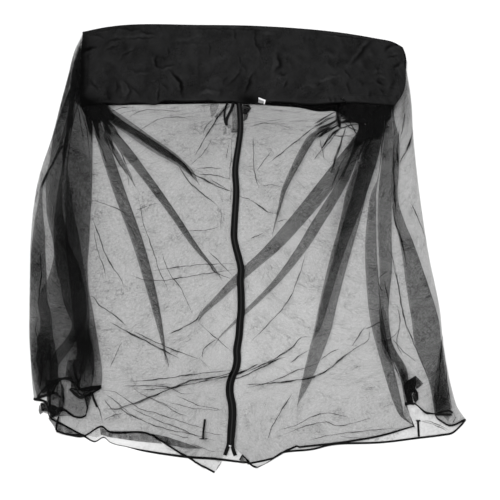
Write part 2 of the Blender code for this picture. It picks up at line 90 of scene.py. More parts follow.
# ---------------------------------------------------------------- the net's lines
# kind is edge, plain, fold, pleat or hem. points are (x, y), and on a pleat (x, y, width): its
# upper fold and how far it is tucked under; where a width is negative the pleat lies open. A hem
# line lies at a share of the way between the two folds beside it, and one point says where its
# lower end is pulled to.
FRONT_LEFT = (
    Line("zip_left", "edge", beside_zip(-1) + ((221.8, 459.5), (218.6, 465.4), (215, 471.5))),
    Line("hem_flap", "plain", ((190, 102), (215, 150), (228, 230), (233, 290), (228, 380),
                               (216, 440), (209, 468.3))),
    Line("pleat_w1", "pleat", ((104, 102, 0.5), (107, 110, 7), (108.5, 118, 17), (111, 124, 23),
                               (117.5, 128, 22), (125, 133, 21), (139, 143, 22),
                               (156, 154, 20), (173, 163, 13),
                               (186, 172, 8), (197, 182, 1), (212, 205, -1), (226, 250, -1),
                               (231, 290, -1), (228, 340, -1), (220, 400, -1), (203, 465, -1))),
    Line("pleat_w1_core", "pleat", ((106, 102, 0.2), (108, 110, 2), (109.4, 118, 10),
                                    (112.5, 124, 15),
                                    (120, 128, 14), (131, 134, 13), (144.5, 143, 13), (161, 154, 12),
                                    (177, 163, 7), (188, 172, 3), (196, 182, -1),
                                    (208, 205, -1), (222, 250, -1), (229, 290, -1),
                                    (225, 340, -1), (216, 400, -1), (197, 461.5, -1))),
    Line("hem_a", "plain", ((103.5, 102), (107, 120), (120, 138), (165, 185), (213, 250),
                            (227, 290), (222, 340), (211, 400), (191, 457.7))),
    Line("pleat_w2", "pleat", ((102, 102, 1), (105.5, 130, 9), (110.5, 138, 11.5),
                               (144.5, 182, 10.5), (169.5, 215, 8.5), (195, 250, 6),
                               (212, 268, 3), (222, 280, 0), (224, 292, -1), (217, 340, -1),
                               (201, 400, -1), (183, 453, -1))),
    Line("hem_b", "plain", ((100.6, 102), (107.5, 135), (116, 150), (134, 183), (168, 250),
                            (184, 300), (187, 335), (182, 380), (165, 442))),
    Line("pleat_w3", "pleat", ((97, 102, 2), (94, 120, 6), (96, 135, 10), (111, 185, 12.2),
                               (134.4, 250, 11.5), (149.4, 300, 8.7), (159.3, 335, 4.6),
                               (165, 357, 1.2), (169, 374, -1), (165, 400, -1),
                               (153, 434, -1))),
    Line("hem_c", "plain", ((95, 102), (92, 130), (98, 185), (113, 250), (124, 320),
                            (132, 380), (137, 431))),
    Line("hem_d", "plain", ((93.5, 102), (90, 130), (91, 185), (100, 250), (107, 320),
                            (111, 380), (110, 431))),
    Line("hem_e", "plain", ((92.5, 102), (87, 140), (86, 190), (93, 250), (98, 310),
                            (103, 370), (101, 425.5))),
    Line("hem_turn_1", "plain", ((91, 102), (83, 140), (80, 190), (86, 250), (90, 310),
                                 (93, 370), (84, 435))),
    Line("hem_turn_2", "plain", ((89, 102), (78, 140), (74, 190), (78, 250), (82, 310),
                                 (82, 370), (70, 434))),
)
# The left branch hangs in nine folds, from the front panel's own edge to the outer edge.
LEFT_GATHER = (
    Line("wedge_left", "fold", ((79, 101), (73.4, 120), (69.6, 145), (67, 170), (65.6, 200),
                                (66, 225), (66.5, 250), (70, 280), (73.5, 315), (76, 340),
                                (77.5, 354), (73, 364), (67, 372), (63, 384), (59, 405),
                                (56.5, 430))),
    Line("hem_loop_1", "hem", ((0.15, 58.6, 417),)),
    Line("hem_loop_2", "hem", ((0.3, 63.5, 408.7),)),
    Line("hem_loop_3", "hem", ((0.5, 72.5, 414.6),)),
    Line("hem_loop_4", "hem", ((0.7, 80.6, 416.5),)),
    Line("hem_loop_5", "hem", ((0.88, 86.6, 413.5),)),
    Line("wedge_right", "fold", ((80.4, 101), (74.6, 120), (70.4, 145), (68, 171), (70, 184),
                                 (73, 206), (76, 222), (80.5, 244), (83, 260), (87, 283),
                                 (90, 316), (89.5, 333), (92, 344), (94.4, 356), (94, 372),
                                 (91, 392), (88, 408))),
    Line("hem_loop_6", "hem", ((0.1, 85.3, 396.5),)),
    Line("hem_loop_7", "hem", ((0.3, 79, 392),)),
    Line("hem_loop_8", "hem", ((0.55, 71, 380),)),
    Line("hem_loop_9", "hem", ((0.8, 60, 379),)),
    Line("dark_left", "fold", ((69.4, 100), (67.8, 122), (66, 139), (63.8, 152), (62.5, 167),
                               (58.3, 189), (56.7, 200), (55, 215), (54, 228), (54.5, 250),
                               (56.7, 269), (60.5, 283), (63.3, 300), (67.2, 312),
                               (72.3, 324), (68.5, 335.5), (61.7, 344), (56.5, 350),
                               (51, 362), (50, 378), (52, 392))),
    Line("dark_right", "fold", ((75.6, 100), (73.9, 122), (70, 139), (66.2, 152), (65, 167),
                                (62.5, 189), (62.2, 200), (63.5, 215), (66.5, 228), (70, 245),
                                (78, 262), (84, 283), (87, 305), (84, 328), (76.5, 340),
                                (72.5, 347), (66, 355.6), (59.6, 364.4), (58.3, 372),
                                (59.4, 379))),
    Line("window_left", "fold", ((72, 99), (66, 122), (58, 150), (50, 168), (46.5, 180),
                                 (46.4, 200), (46.9, 212), (49, 224), (53, 241), (54, 256),
                                 (51, 270), (47, 281), (40.5, 292), (38, 302), (38.6, 308),
                                 (40.2, 318), (40.4, 328), (37.4, 339), (37.8, 350), (36.4, 361),
                                 (38.8, 372), (37.5, 383), (42, 392))),
    Line("hem_loop_10", "hem", ((0.2, 52, 385),)),
    Line("hem_loop_11", "hem", ((0.36, 59.4, 378),)),
    Line("hem_loop_12", "hem", ((0.52, 72, 379.4),)),
    Line("hem_loop_13", "hem", ((0.6, 71, 389),)),
    Line("hem_loop_14", "hem", ((0.7, 79.4, 396.6),)),
    Line("hem_loop_15", "hem", ((0.82, 86, 395.4),)),
    Line("gather_right", "fold", ((90, 100), (91.5, 115), (92.6, 133), (92.5, 167), (91.7, 200),
                                  (90.6, 216), (88.8, 250), (87.6, 267), (89.4, 292),
                                  (91.7, 303), (96, 328), (100.4, 356), (102.4, 372),
                                  (101.6, 386.5))),
    Line("hem_loop_16", "hem", ((0.3, 82, 388.6),)),
    Line("hem_loop_17", "hem", ((0.48, 71.4, 380),)),
    Line("hem_loop_18", "hem", ((0.66, 59.6, 377.8),)),
    Line("hem_loop_19", "hem", ((0.86, 45.6, 386),)),
    Line("pale_edge", "fold", ((83.5, 52), (74, 78), (61, 112), (53.6, 133), (51.6, 150),
                               (47.2, 171), (44.6, 177), (40.6, 186), (38.8, 200), (36.7, 210),
                               (33.5, 231), (31.2, 255), (30.4, 283), (29.9, 317), (29.9, 339),
                               (31, 356), (33, 378), (37, 396))),
    Line("strip_right", "fold", ((88, 48), (80.5, 78), (71.5, 108), (63.8, 140), (53.6, 164),
                                 (45.4, 179), (43.2, 187), (42.8, 206), (45, 233), (45.6, 256),
                                 (47, 281), (46.7, 294), (51.7, 317), (52.8, 333), (56, 350),
                                 (57.4, 361), (58, 372), (55, 392))),
    Line("outer_edge", "fold", ((83, 34), (75, 50), (68, 77), (61.5, 101), (52.2, 137),
                                (40.8, 171), (34.6, 200), (30.6, 243), (29.8, 283),
                                (29.3, 317), (29.4, 339), (30.4, 356), (31.8, 378),
                                (34, 398.5))),
)
BACK = (
    Line("back_hem_1", "plain", ((88, 60), (80, 90), (68, 140), (56, 200), (50, 260), (47, 340),
                                 (46, 402))),
    Line("back_hem_2", "plain", ((90, 80), (83, 120), (74, 180), (64, 260), (60, 340),
                                 (50.5, 416.5))),
    Line("back_hem_3", "plain", ((91, 98), (88, 140), (80, 200), (75, 300), (72, 370),
                                 (68, 426.3))),
    Line("back_hem_4", "plain", ((95, 101), (93, 150), (89, 250), (87, 350), (84, 435))),
    Line("back_hem_5", "plain", ((98, 102), (99, 150), (99, 250), (98, 350), (95, 441))),
    Line("back_hem_6", "plain", ((101, 102), (104, 150), (105, 250), (106, 350), (104, 436.8))),
    Line("back_hem_7", "plain", ((104, 102), (109, 200), (110, 300), (109.5, 441.5))),
    Line("back_hem_8", "plain", ((120, 102), (128, 250), (128, 350), (127, 446.5))),
    Line("back_hem_9", "plain", ((140, 102), (150, 250), (146, 350), (142, 449.5))),
    Line("back_centre", "plain", ((180, 102), (184, 250), (180, 350), (176, 454.5))),
    Line("pleat_r2", "pleat", ((354, 108, 1), (362, 126, 3), (361, 141, 10), (350, 162, 16),
                               (347, 168, 17.5), (325, 199, 20), (307, 220, 19),
                               (279, 250, 17.4), (258.5, 267, 15), (239.4, 283.4, 12.6),
                               (230.6, 291, 10.5), (220, 301, 9), (209, 310, 6.5),
                               (198, 322, 0), (195, 335, -1), (203, 370, -1),
                               (215, 457.5, -1))),
    Line("pleat_r3", "pleat", ((358, 108, 2), (364, 130, 6), (351, 175, 10),
                               (334, 207, 12.6), (325.8, 220, 12.8),
                               (306.4, 250, 11.4), (279, 283, 8), (250, 310.6, 6), (236, 323, 4),
                               (219, 339, 1.5), (214, 348, -1), (220, 375, -1),
                               (240, 461, -1))),
    Line("back_hem_10", "plain", ((369, 108), (372, 140), (356, 190), (328, 250), (298, 310),
                                  (270, 380), (252, 462))),
    Line("back_hem_11", "plain", ((371, 108), (375, 140), (362, 190), (337, 250), (310, 310),
                                  (288, 370), (272, 457.5))),
    Line("back_hem_12", "plain", ((374, 108), (379, 140), (370, 190), (350, 250), (324, 310),
                                  (300, 370), (283, 451.5))),
    Line("back_hem_13", "plain", ((376, 108), (382, 140), (376, 190), (362, 250), (342, 310),
                                  (322, 370), (310, 448.6))),
    Line("back_hem_14", "plain", ((378, 108), (385, 140), (385, 250), (370, 350), (340, 442.8))),
    Line("back_hem_15", "plain", ((380, 107), (388, 140), (394, 250), (390, 350), (380, 441.5))),
    Line("back_hem_16", "plain", ((384, 106), (393, 140), (408, 250), (414, 350), (418, 437))),
    Line("back_hem_17", "plain", ((388, 102), (398, 140), (414, 250), (426, 350), (442, 434))),
    Line("back_hem_18", "plain", ((392, 98), (402, 140), (420, 250), (434, 340), (452, 432))),
    Line("back_hem_19", "plain", ((396, 90), (405, 130), (424, 250), (439, 340), (460, 425))),
)
FRONT_RIGHT = (
    Line("side_right", "fold", ((405, 62), (411, 100), (413, 134), (417.5, 178), (423.8, 225),
                                (430, 262), (435, 285), (439.8, 310), (442.6, 340), (445.8, 362),
                                (447.7, 380.5), (451.4, 395), (457, 407), (465, 418.5))),
    Line("side_hem_1", "plain", ((404, 75), (407, 125), (413, 180), (421, 250), (435, 300),
                                 (442, 350), (449, 424.5))),
    Line("side_hem_2", "plain", ((403, 80), (405, 125), (411, 180), (418, 250), (430, 300),
                                 (438, 350), (441, 420))),
    Line("pleat_r7", "pleat", ((391.5, 98, 2), (392, 120, 2.5), (393, 130, 4), (393, 140, 6),
                               (392, 165, 7), (392, 200, 6),
                               (394.6, 222, 10), (399.2, 240, 13), (406.8, 290, 23),
                               (409, 305, 25.6), (411.8, 322, 27.2), (413.8, 340, 27),
                               (418.6, 357, 24.6), (424.6, 370, 20), (429.5, 385, 17),
                               (434.5, 413.6, 17))),
    Line("side_hem_3", "plain", ((390, 101), (389, 150), (389.5, 205), (397, 250), (402, 300),
                                 (406.4, 340), (415, 380), (425, 411))),
    Line("side_hem_4", "plain", ((388.4, 101), (387, 150), (386.5, 205), (389, 250),
                                 (392.5, 300), (396.8, 340), (406.5, 375), (414.5, 402.8))),
    Line("pleat_r6", "pleat", ((386, 102, 4), (383.8, 137, 9), (381.5, 160, 10.5),
                               (379, 185, 13), (377.5, 212, 14), (378, 238, 13.5),
                               (379.5, 270, 12.5), (379.4, 290, 10.5), (379.5, 310, 9),
                               (380, 330, 10),
                               (383, 345, 10), (398, 370, 9), (404.5, 403, 1.5))),
    Line("pleat_r5", "pleat", ((383, 102, 2), (381, 140, 2), (379.6, 163, 1), (376.5, 181, 1.5),
                               (371, 193, 5), (368.8, 204, 7.3), (367, 219, 8.8),
                               (365.6, 232, 10.4), (365, 260, 12), (366, 280, 12.5),
                               (368.6, 310, 13), (372, 330, 13), (376, 345, 12),
                               (386, 380, 10.5), (394, 404, 8), (401, 417, 4),
                               (413, 425.5, 0.5))),
    Line("hem_f", "plain", ((378, 102), (372, 140), (366, 190), (361, 250), (361, 310),
                            (366, 370), (385, 433.6))),
    Line("hem_g", "plain", ((377, 102), (371, 140), (365.5, 190), (357, 250), (348, 310),
                            (342, 370), (352, 439.8))),
    Line("pleat_r4", "pleat", ((367, 102, 6), (366, 130, 16), (361, 147, 19), (354, 170, 20),
                               (346, 192, 21), (342, 212, 20), (337.5, 231, 19.5),
                               (332, 250, 19.5), (320, 300, 18), (313.5, 332, 17),
                               (309, 350, 15), (301, 385, 8), (297, 407, 0), (296, 425, -1),
                               (300, 446, -1))),
    Line("pleat_r4_core", "pleat", ((368, 102, 4), (366.6, 130, 15), (363, 148, 17),
                                    (357.5, 172, 16), (350, 200, 14), (342, 226, 12.5),
                                    (335.6, 250, 9.5), (321.5, 300, 8), (315, 330, 4.5),
                                    (312, 342, 0), (309.5, 356, -1), (303, 390, -1),
                                    (296.5, 407, -1), (294.5, 425, -1), (297, 445, -1))),
    Line("hem_h", "plain", ((353, 102), (337, 150), (316, 200), (303, 250), (292, 310),
                            (284, 370), (283, 451.5))),
    Line("hem_i", "plain", ((352, 102), (335, 150), (312, 200), (298, 250), (286, 310),
                            (277, 370), (270, 460.5))),
    Line("pleat_r1", "pleat", ((338.5, 102, 0.5), (338, 112, 0.6), (334, 121, 2.4),
                               (322, 127.6, 6), (311, 133.4, 9), (301, 147, 9),
                               (293, 163, 8), (281.5, 190, 5), (278, 207, 3), (273, 230, 1),
                               (271, 250, -1), (268, 300, -1), (263, 370, -1),
                               (258.2, 466.6, -1))),
    Line("hem_j", "plain", ((300, 102), (285, 150), (268, 200), (262, 300), (256, 380),
                            (253, 465))),
    Line("hem_k", "plain", ((270, 102), (262, 150), (256, 200), (250, 300), (246, 380),
                            (247.5, 460.5))),
    Line("zip_right", "edge", beside_zip(1) + ((238.5, 457.5), (243.5, 456))),
)
# How much denser than lying net each pleat's middle panel is, pulled tight under the other two.
TIGHT = {"pleat_w1": 1.2, "pleat_w1_core": 2.7, "pleat_w2": 1.9, "pleat_w3": 1.9,
         "pleat_r1": 2.0, "pleat_r4_core": 1.3}
USUALLY_TIGHT = 1.5
# How much of the hem tape's width is seen where it stands on its edge.
ON_EDGE = {"back_hem_5": 0.6, "back_hem_6": 0.5, "back_hem_7": 0.35, "back_hem_8": 0.3,
           "back_hem_9": 0.9, "back_centre": 1.15, "pleat_r2": 1.3, "pleat_r1": 0.5,
           "hem_i": 0.4, "side_hem_3": 1.6, "pleat_r6": 1.4}

# The roof's lines run from its left end to its right end, back half first.
ROOF = (
    Line("back_seam", "edge", ((82, 106), (160, 104.5), (250, 104.2), (272, 105.8), (300, 108),
                               (318, 111.6), (336, 111.6), (351, 117), (370, 118), (390, 112))),
    Line("back_low", "plain", ((81.5, 88), (150, 86), (250, 86), (350, 92), (403.5, 92))),
    Line("back_mid", "plain", ((82, 66), (150, 62), (250, 63), (350, 70), (405, 72))),
    Line("back_high", "plain", ((83, 45), (150, 40), (250, 41), (350, 49), (405.2, 57))),
    Line("ridge", "fold", ((82.8, 31.9), (105, 27.3), (130, 24.6), (200, 24.9), (250, 25.6),
                           (307, 29), (345, 33.2), (375, 38.2), (393, 42), (402.8, 47.2))),
    Line("front_high", "plain", ((82, 45), (150, 40), (250, 41), (350, 49), (406, 57))),
    Line("front_mid", "plain", ((81, 66), (150, 62), (250, 63), (350, 70), (405.8, 72))),
    Line("front_low", "plain", ((80.5, 88), (150, 86), (250, 86), (350, 90), (404, 90))),
    Line("front_seam", "edge", ((81, 107), (94, 104.5), (106, 103.2), (122, 104.2), (132, 102.8),
                                (143, 103.2), (157, 104.2), (162, 101.3), (183, 101.3),
                                (203, 101), (209, 100.6), (218, 102), (232, 101.4),
                                (240, 102.8), (250, 103.6), (262, 103.8), (270, 102),
                                (288, 102.5), (312, 104.2), (323, 103.5), (336, 102.6),
                                (356, 102.6), (376, 104.2), (395, 105.6))),
)
ROOF_ROWS = 440  # from end to end
ROOF_STEP = 0.0034  # between two columns of its front half

# Creases of the roof cloth: how light (above 0, a ridge with painted highlight) or dark (below 0, a
# furrow with painted shade), which also sets their relief, the reach to each side, then the points.
CRINKLES = (
    (-0.8, 1.4, (88, 35), (98, 36), (105, 39.5)),
    (-1.8, 2.2, (82, 54), (89, 50), (97, 47.8)),
    (-0.9, 1.5, (105, 44.5), (113, 40.6), (122, 39.4)),
    (0.7, 1.6, (106, 43), (113, 38.6), (130, 37.2), (154, 37)),
    (-1.2, 1.5, (138, 33), (147, 33.6), (156, 35.4)),
    (-0.8, 1.2, (128, 39.4), (145, 38.6), (157, 38.4)),
    (-1.0, 1.6, (112, 31), (122, 28.5), (130, 31), (138, 29.5), (143, 32.3)),
    (0.9, 1.3, (104.5, 50), (112, 46), (120, 43.4)),
    (-0.7, 1.4, (105, 51.8), (113, 48.4), (121, 45.6)),
    (-0.7, 3.2, (122, 41), (124, 46), (123, 52)),
    (1.0, 1.2, (121, 55), (128, 51.4), (134.5, 48.6)),
    (-0.6, 1.4, (122, 56.6), (129, 53.2), (136, 50.4)),
    (0.7, 1.4, (118, 61), (121, 57), (122, 54)),
    (-0.6, 2.0, (128, 68.5), (134, 71.6), (147, 72)),
    (0.7, 1.3, (137, 74.4), (146, 74.6), (152, 73)),
    (-0.5, 4.5, (104, 66), (107, 73), (110, 79)),
    (-1.5, 1.6, (156.3, 54), (155, 60), (157, 67), (161, 69)),
    (0.8, 1.4, (150, 57), (152.5, 60), (152, 64)),
    (-1.1, 1.4, (160, 69.4), (168, 66.4), (175.5, 66)),
    (0.6, 1.4, (160, 72), (168, 69.5), (174, 69)),
    (-1.9, 2.2, (169.5, 70.5), (174, 76), (179, 82), (181, 90), (181.6, 98)),
    (0.5, 1.8, (173, 70), (178, 76), (182.5, 82), (184.6, 92)),
    (-1.0, 1.8, (161, 82.6), (166, 88), (168, 91)),
    (-1.3, 1.3, (158.6, 86), (158, 97), (157.4, 103.5)),
    (0.6, 1.2, (156.6, 84), (155.8, 97)),
    (-1.2, 1.8, (121.5, 79), (127, 84), (129.4, 91), (125, 101)),
    (0.8, 1.4, (119.6, 80), (121.5, 88), (123, 97)),
    (-1.1, 1.6, (116, 80), (116.8, 87), (116, 93)),
    (-0.9, 1.8, (130, 86), (136, 92), (140, 96)),
    (0.6, 1.8, (88, 75), (95, 84), (101, 89)),
    (-0.8, 1.8, (90, 78), (94, 86), (99, 92)),
    (-0.6, 2.0, (108, 90), (110, 96), (106, 101)),
    (-0.5, 2.2, (198, 56), (198.4, 70), (198, 86)),
    (-0.8, 1.4, (166.6, 45), (168, 50), (169, 56)),
    (0.7, 1.8, (172, 41.8), (186, 40.4), (197, 37), (206, 36)),
    (-0.5, 1.6, (180, 45), (196, 43.6), (209, 44.6)),
    (0.8, 1.1, (208, 42.6), (215, 41)),
    (-0.9, 1.1, (208.8, 42), (209.4, 49), (208.6, 56)),
    (-0.7, 1.6, (197, 92.4), (204, 89.4), (213, 89.8), (222, 92.6)),
    (0.9, 1.8, (199, 95), (207, 93), (214, 94.6)),
    (-0.7, 2.4, (219, 89), (221, 93), (219, 96)),
    (-1.1, 1.6, (242.5, 65), (239, 73), (234, 79), (226, 86)),
    (-0.8, 1.4, (228, 76), (224, 81), (222, 86)),
    (-0.9, 1.5, (234, 29), (234.6, 34), (235.4, 40)),
    (-1.0, 1.2, (239.6, 55), (239.4, 60), (240.4, 65)),
    (0.6, 2.0, (240, 61), (248, 57), (256, 63)),
    (-0.7, 1.6, (240, 66), (245, 68), (246, 73)),
    (-1.1, 1.5, (256.4, 28), (254.4, 39), (256.4, 45), (259.6, 50), (259.6, 58)),
    (0.5, 1.5, (262, 34), (268, 35), (276, 34)),
    (-1.6, 2.0, (254, 73), (250, 78), (247.4, 87), (244, 95)),
    (-1.5, 2.6, (277, 51), (278.2, 59), (279.4, 65), (275.6, 69), (274, 73)),
    (0.6, 1.6, (272.6, 58), (273, 66), (271, 73)),
    (-1.3, 1.6, (278, 73.6), (282, 76), (288, 73.6)),
    (-1.3, 1.5, (287, 79), (285.6, 83), (282.6, 88)),
    (0.7, 1.3, (276, 77), (280, 80), (281.6, 83)),
    (-0.5, 1.8, (304.4, 32), (304, 38), (303, 45)),
    (-0.8, 3.6, (324, 49), (330, 52), (336, 56)),
    (-0.7, 3.6, (326, 60), (330, 64), (336, 67)),
    (-1.5, 2.4, (372, 38.6), (363, 49), (355.6, 59), (349, 66)),
    (0.9, 1.8, (368, 38.6), (358, 50), (351, 60), (344.6, 66.6)),
    (-0.7, 5.0, (362, 56), (364, 64), (365, 72)),
    (-0.7, 4.0, (369, 46), (373, 53), (374, 60)),
    (-1.1, 1.5, (344, 69), (348, 75), (352, 80)),
    (-0.7, 1.4, (328, 73), (334, 76), (341, 74)),
    (0.9, 1.4, (315, 84.6), (324, 81), (335, 77)),
    (-0.9, 4.0, (330, 81), (333, 84), (334, 88)),
    (0.7, 1.8, (298, 89), (308, 86), (318, 88.4)),
    (0.8, 1.3, (312, 97), (318, 93), (323, 91)),
    (-1.0, 1.8, (346.6, 81), (348, 88), (350.4, 95)),
    (-0.8, 2.4, (357, 79), (361, 83), (362, 88)),
    (-1.0, 1.8, (328.6, 97), (329.4, 100), (329, 103)),
    (-0.9, 1.6, (334, 97), (334.6, 100), (334.6, 103)),
    (-1.5, 1.8, (384.6, 53), (388, 48.4), (396, 45)),
    (-1.0, 1.3, (387, 58.6), (391, 57), (396, 57)),
    (-1.4, 1.8, (392, 69.4), (398, 66), (402.6, 62.6)),
    (0.8, 1.3, (389, 55.4), (394, 54.4), (399, 55)),
    (-0.9, 1.6, (375, 67), (378, 70), (377, 74)),
    (1.0, 1.6, (376, 77.6), (381, 77.4), (386, 79)),
    (-1.4, 1.6, (375, 80), (379, 83.4), (384.6, 85.6)),
    (-1.1, 3.0, (394, 79), (392, 84), (390, 89)),
    (-1.0, 1.6, (379.4, 88), (382, 92), (384, 96)),
    (-0.8, 1.6, (369, 90), (369.4, 94), (368.6, 99)),
    (0.7, 1.6, (372, 74), (378, 72), (385, 73.6)),
    (0.6, 1.4, (386, 90), (391, 87), (397, 88)),
    # along the ridge, the rounded ends and the seam
    (-0.9, 0.9, (86, 34.6), (105, 30.6), (121, 27.6)),
    (0.6, 1.0, (186, 27.4), (240, 28), (280, 30.6)),
    (-0.6, 0.9, (178, 29.4), (240, 30), (276, 32)),
    (-0.8, 0.9, (318, 33.6), (345, 37), (374, 41.6)),
    (0.7, 0.9, (322, 32.6), (345, 35.6), (376, 40.6)),
    (-1.7, 1.6, (394, 43.6), (401, 47.4), (403, 50.4)),
    (-1.6, 1.5, (403.4, 51.6), (404.8, 58), (404.4, 67)),
    (-0.9, 1.4, (405, 88), (402, 96.6), (396, 103.6)),
    (-2.0, 4.4, (83, 40), (80.6, 54), (80, 78), (80, 106)),
)
# Painted shade on the roof cloth: soft places painted darker where shade falls, as in the net's
# table: middle, reaches, turn, how much.
ROOF_PAINTED_SHADES = (
    Crush(82, 80, 6, 40, 0, -0.7),
    Crush(90, 104, 16, 8, -8, -0.95),
    Crush(250, 100.5, 13, 5.4, 4, -1.0),
    Crush(241, 86, 7, 10, 20, -0.5),
    Crush(118, 62, 42, 36, 0, -0.14),
    Crush(372, 66, 30, 30, 0, -0.12),
    Crush(82, 44, 8, 8, 0, -0.4),
)

# What is sewn on: the middle line of each tie, tape and label.
Tab = namedtuple("Tab", "name node width points")
TIES = (
    Tab("front_tie", "tie_front", 0.0095, ((203.0, 438.5), (203.6, 430), (205, 419))),
    Tab("left_tie", "tie_left", 0.0105, ((92, 392.5), (94.3, 399.5), (97.2, 407))),
    Tab("right_tie", "tie_right", 0.0095, ((418.8, 436.5), (418.3, 428), (418, 420.8))),
)
HANGING_TAPES = (
    Tab("hanging_tape_a", "hanging_tape_1", 0.0092, ((227.4, 102.5), (225.2, 109), (224.4, 116),
                                                     (225.2, 122), (227, 125.4))),
    Tab("hanging_tape_b", "hanging_tape_2", 0.0125, ((233.2, 102.5), (231.6, 109), (228.6, 115),
                                                     (226.6, 120), (226.4, 125.4))),
)
RING_AT = (229.2, 126.4)
LABEL_CORNERS = ((258.6, 97.4), (265.8, 100.2), (264.4, 104.7), (258.2, 102.6))
SLIDER_AT = (243.2, 107.5)
PULL_LINE = ((243.5, 106.5), (250, 108.4))

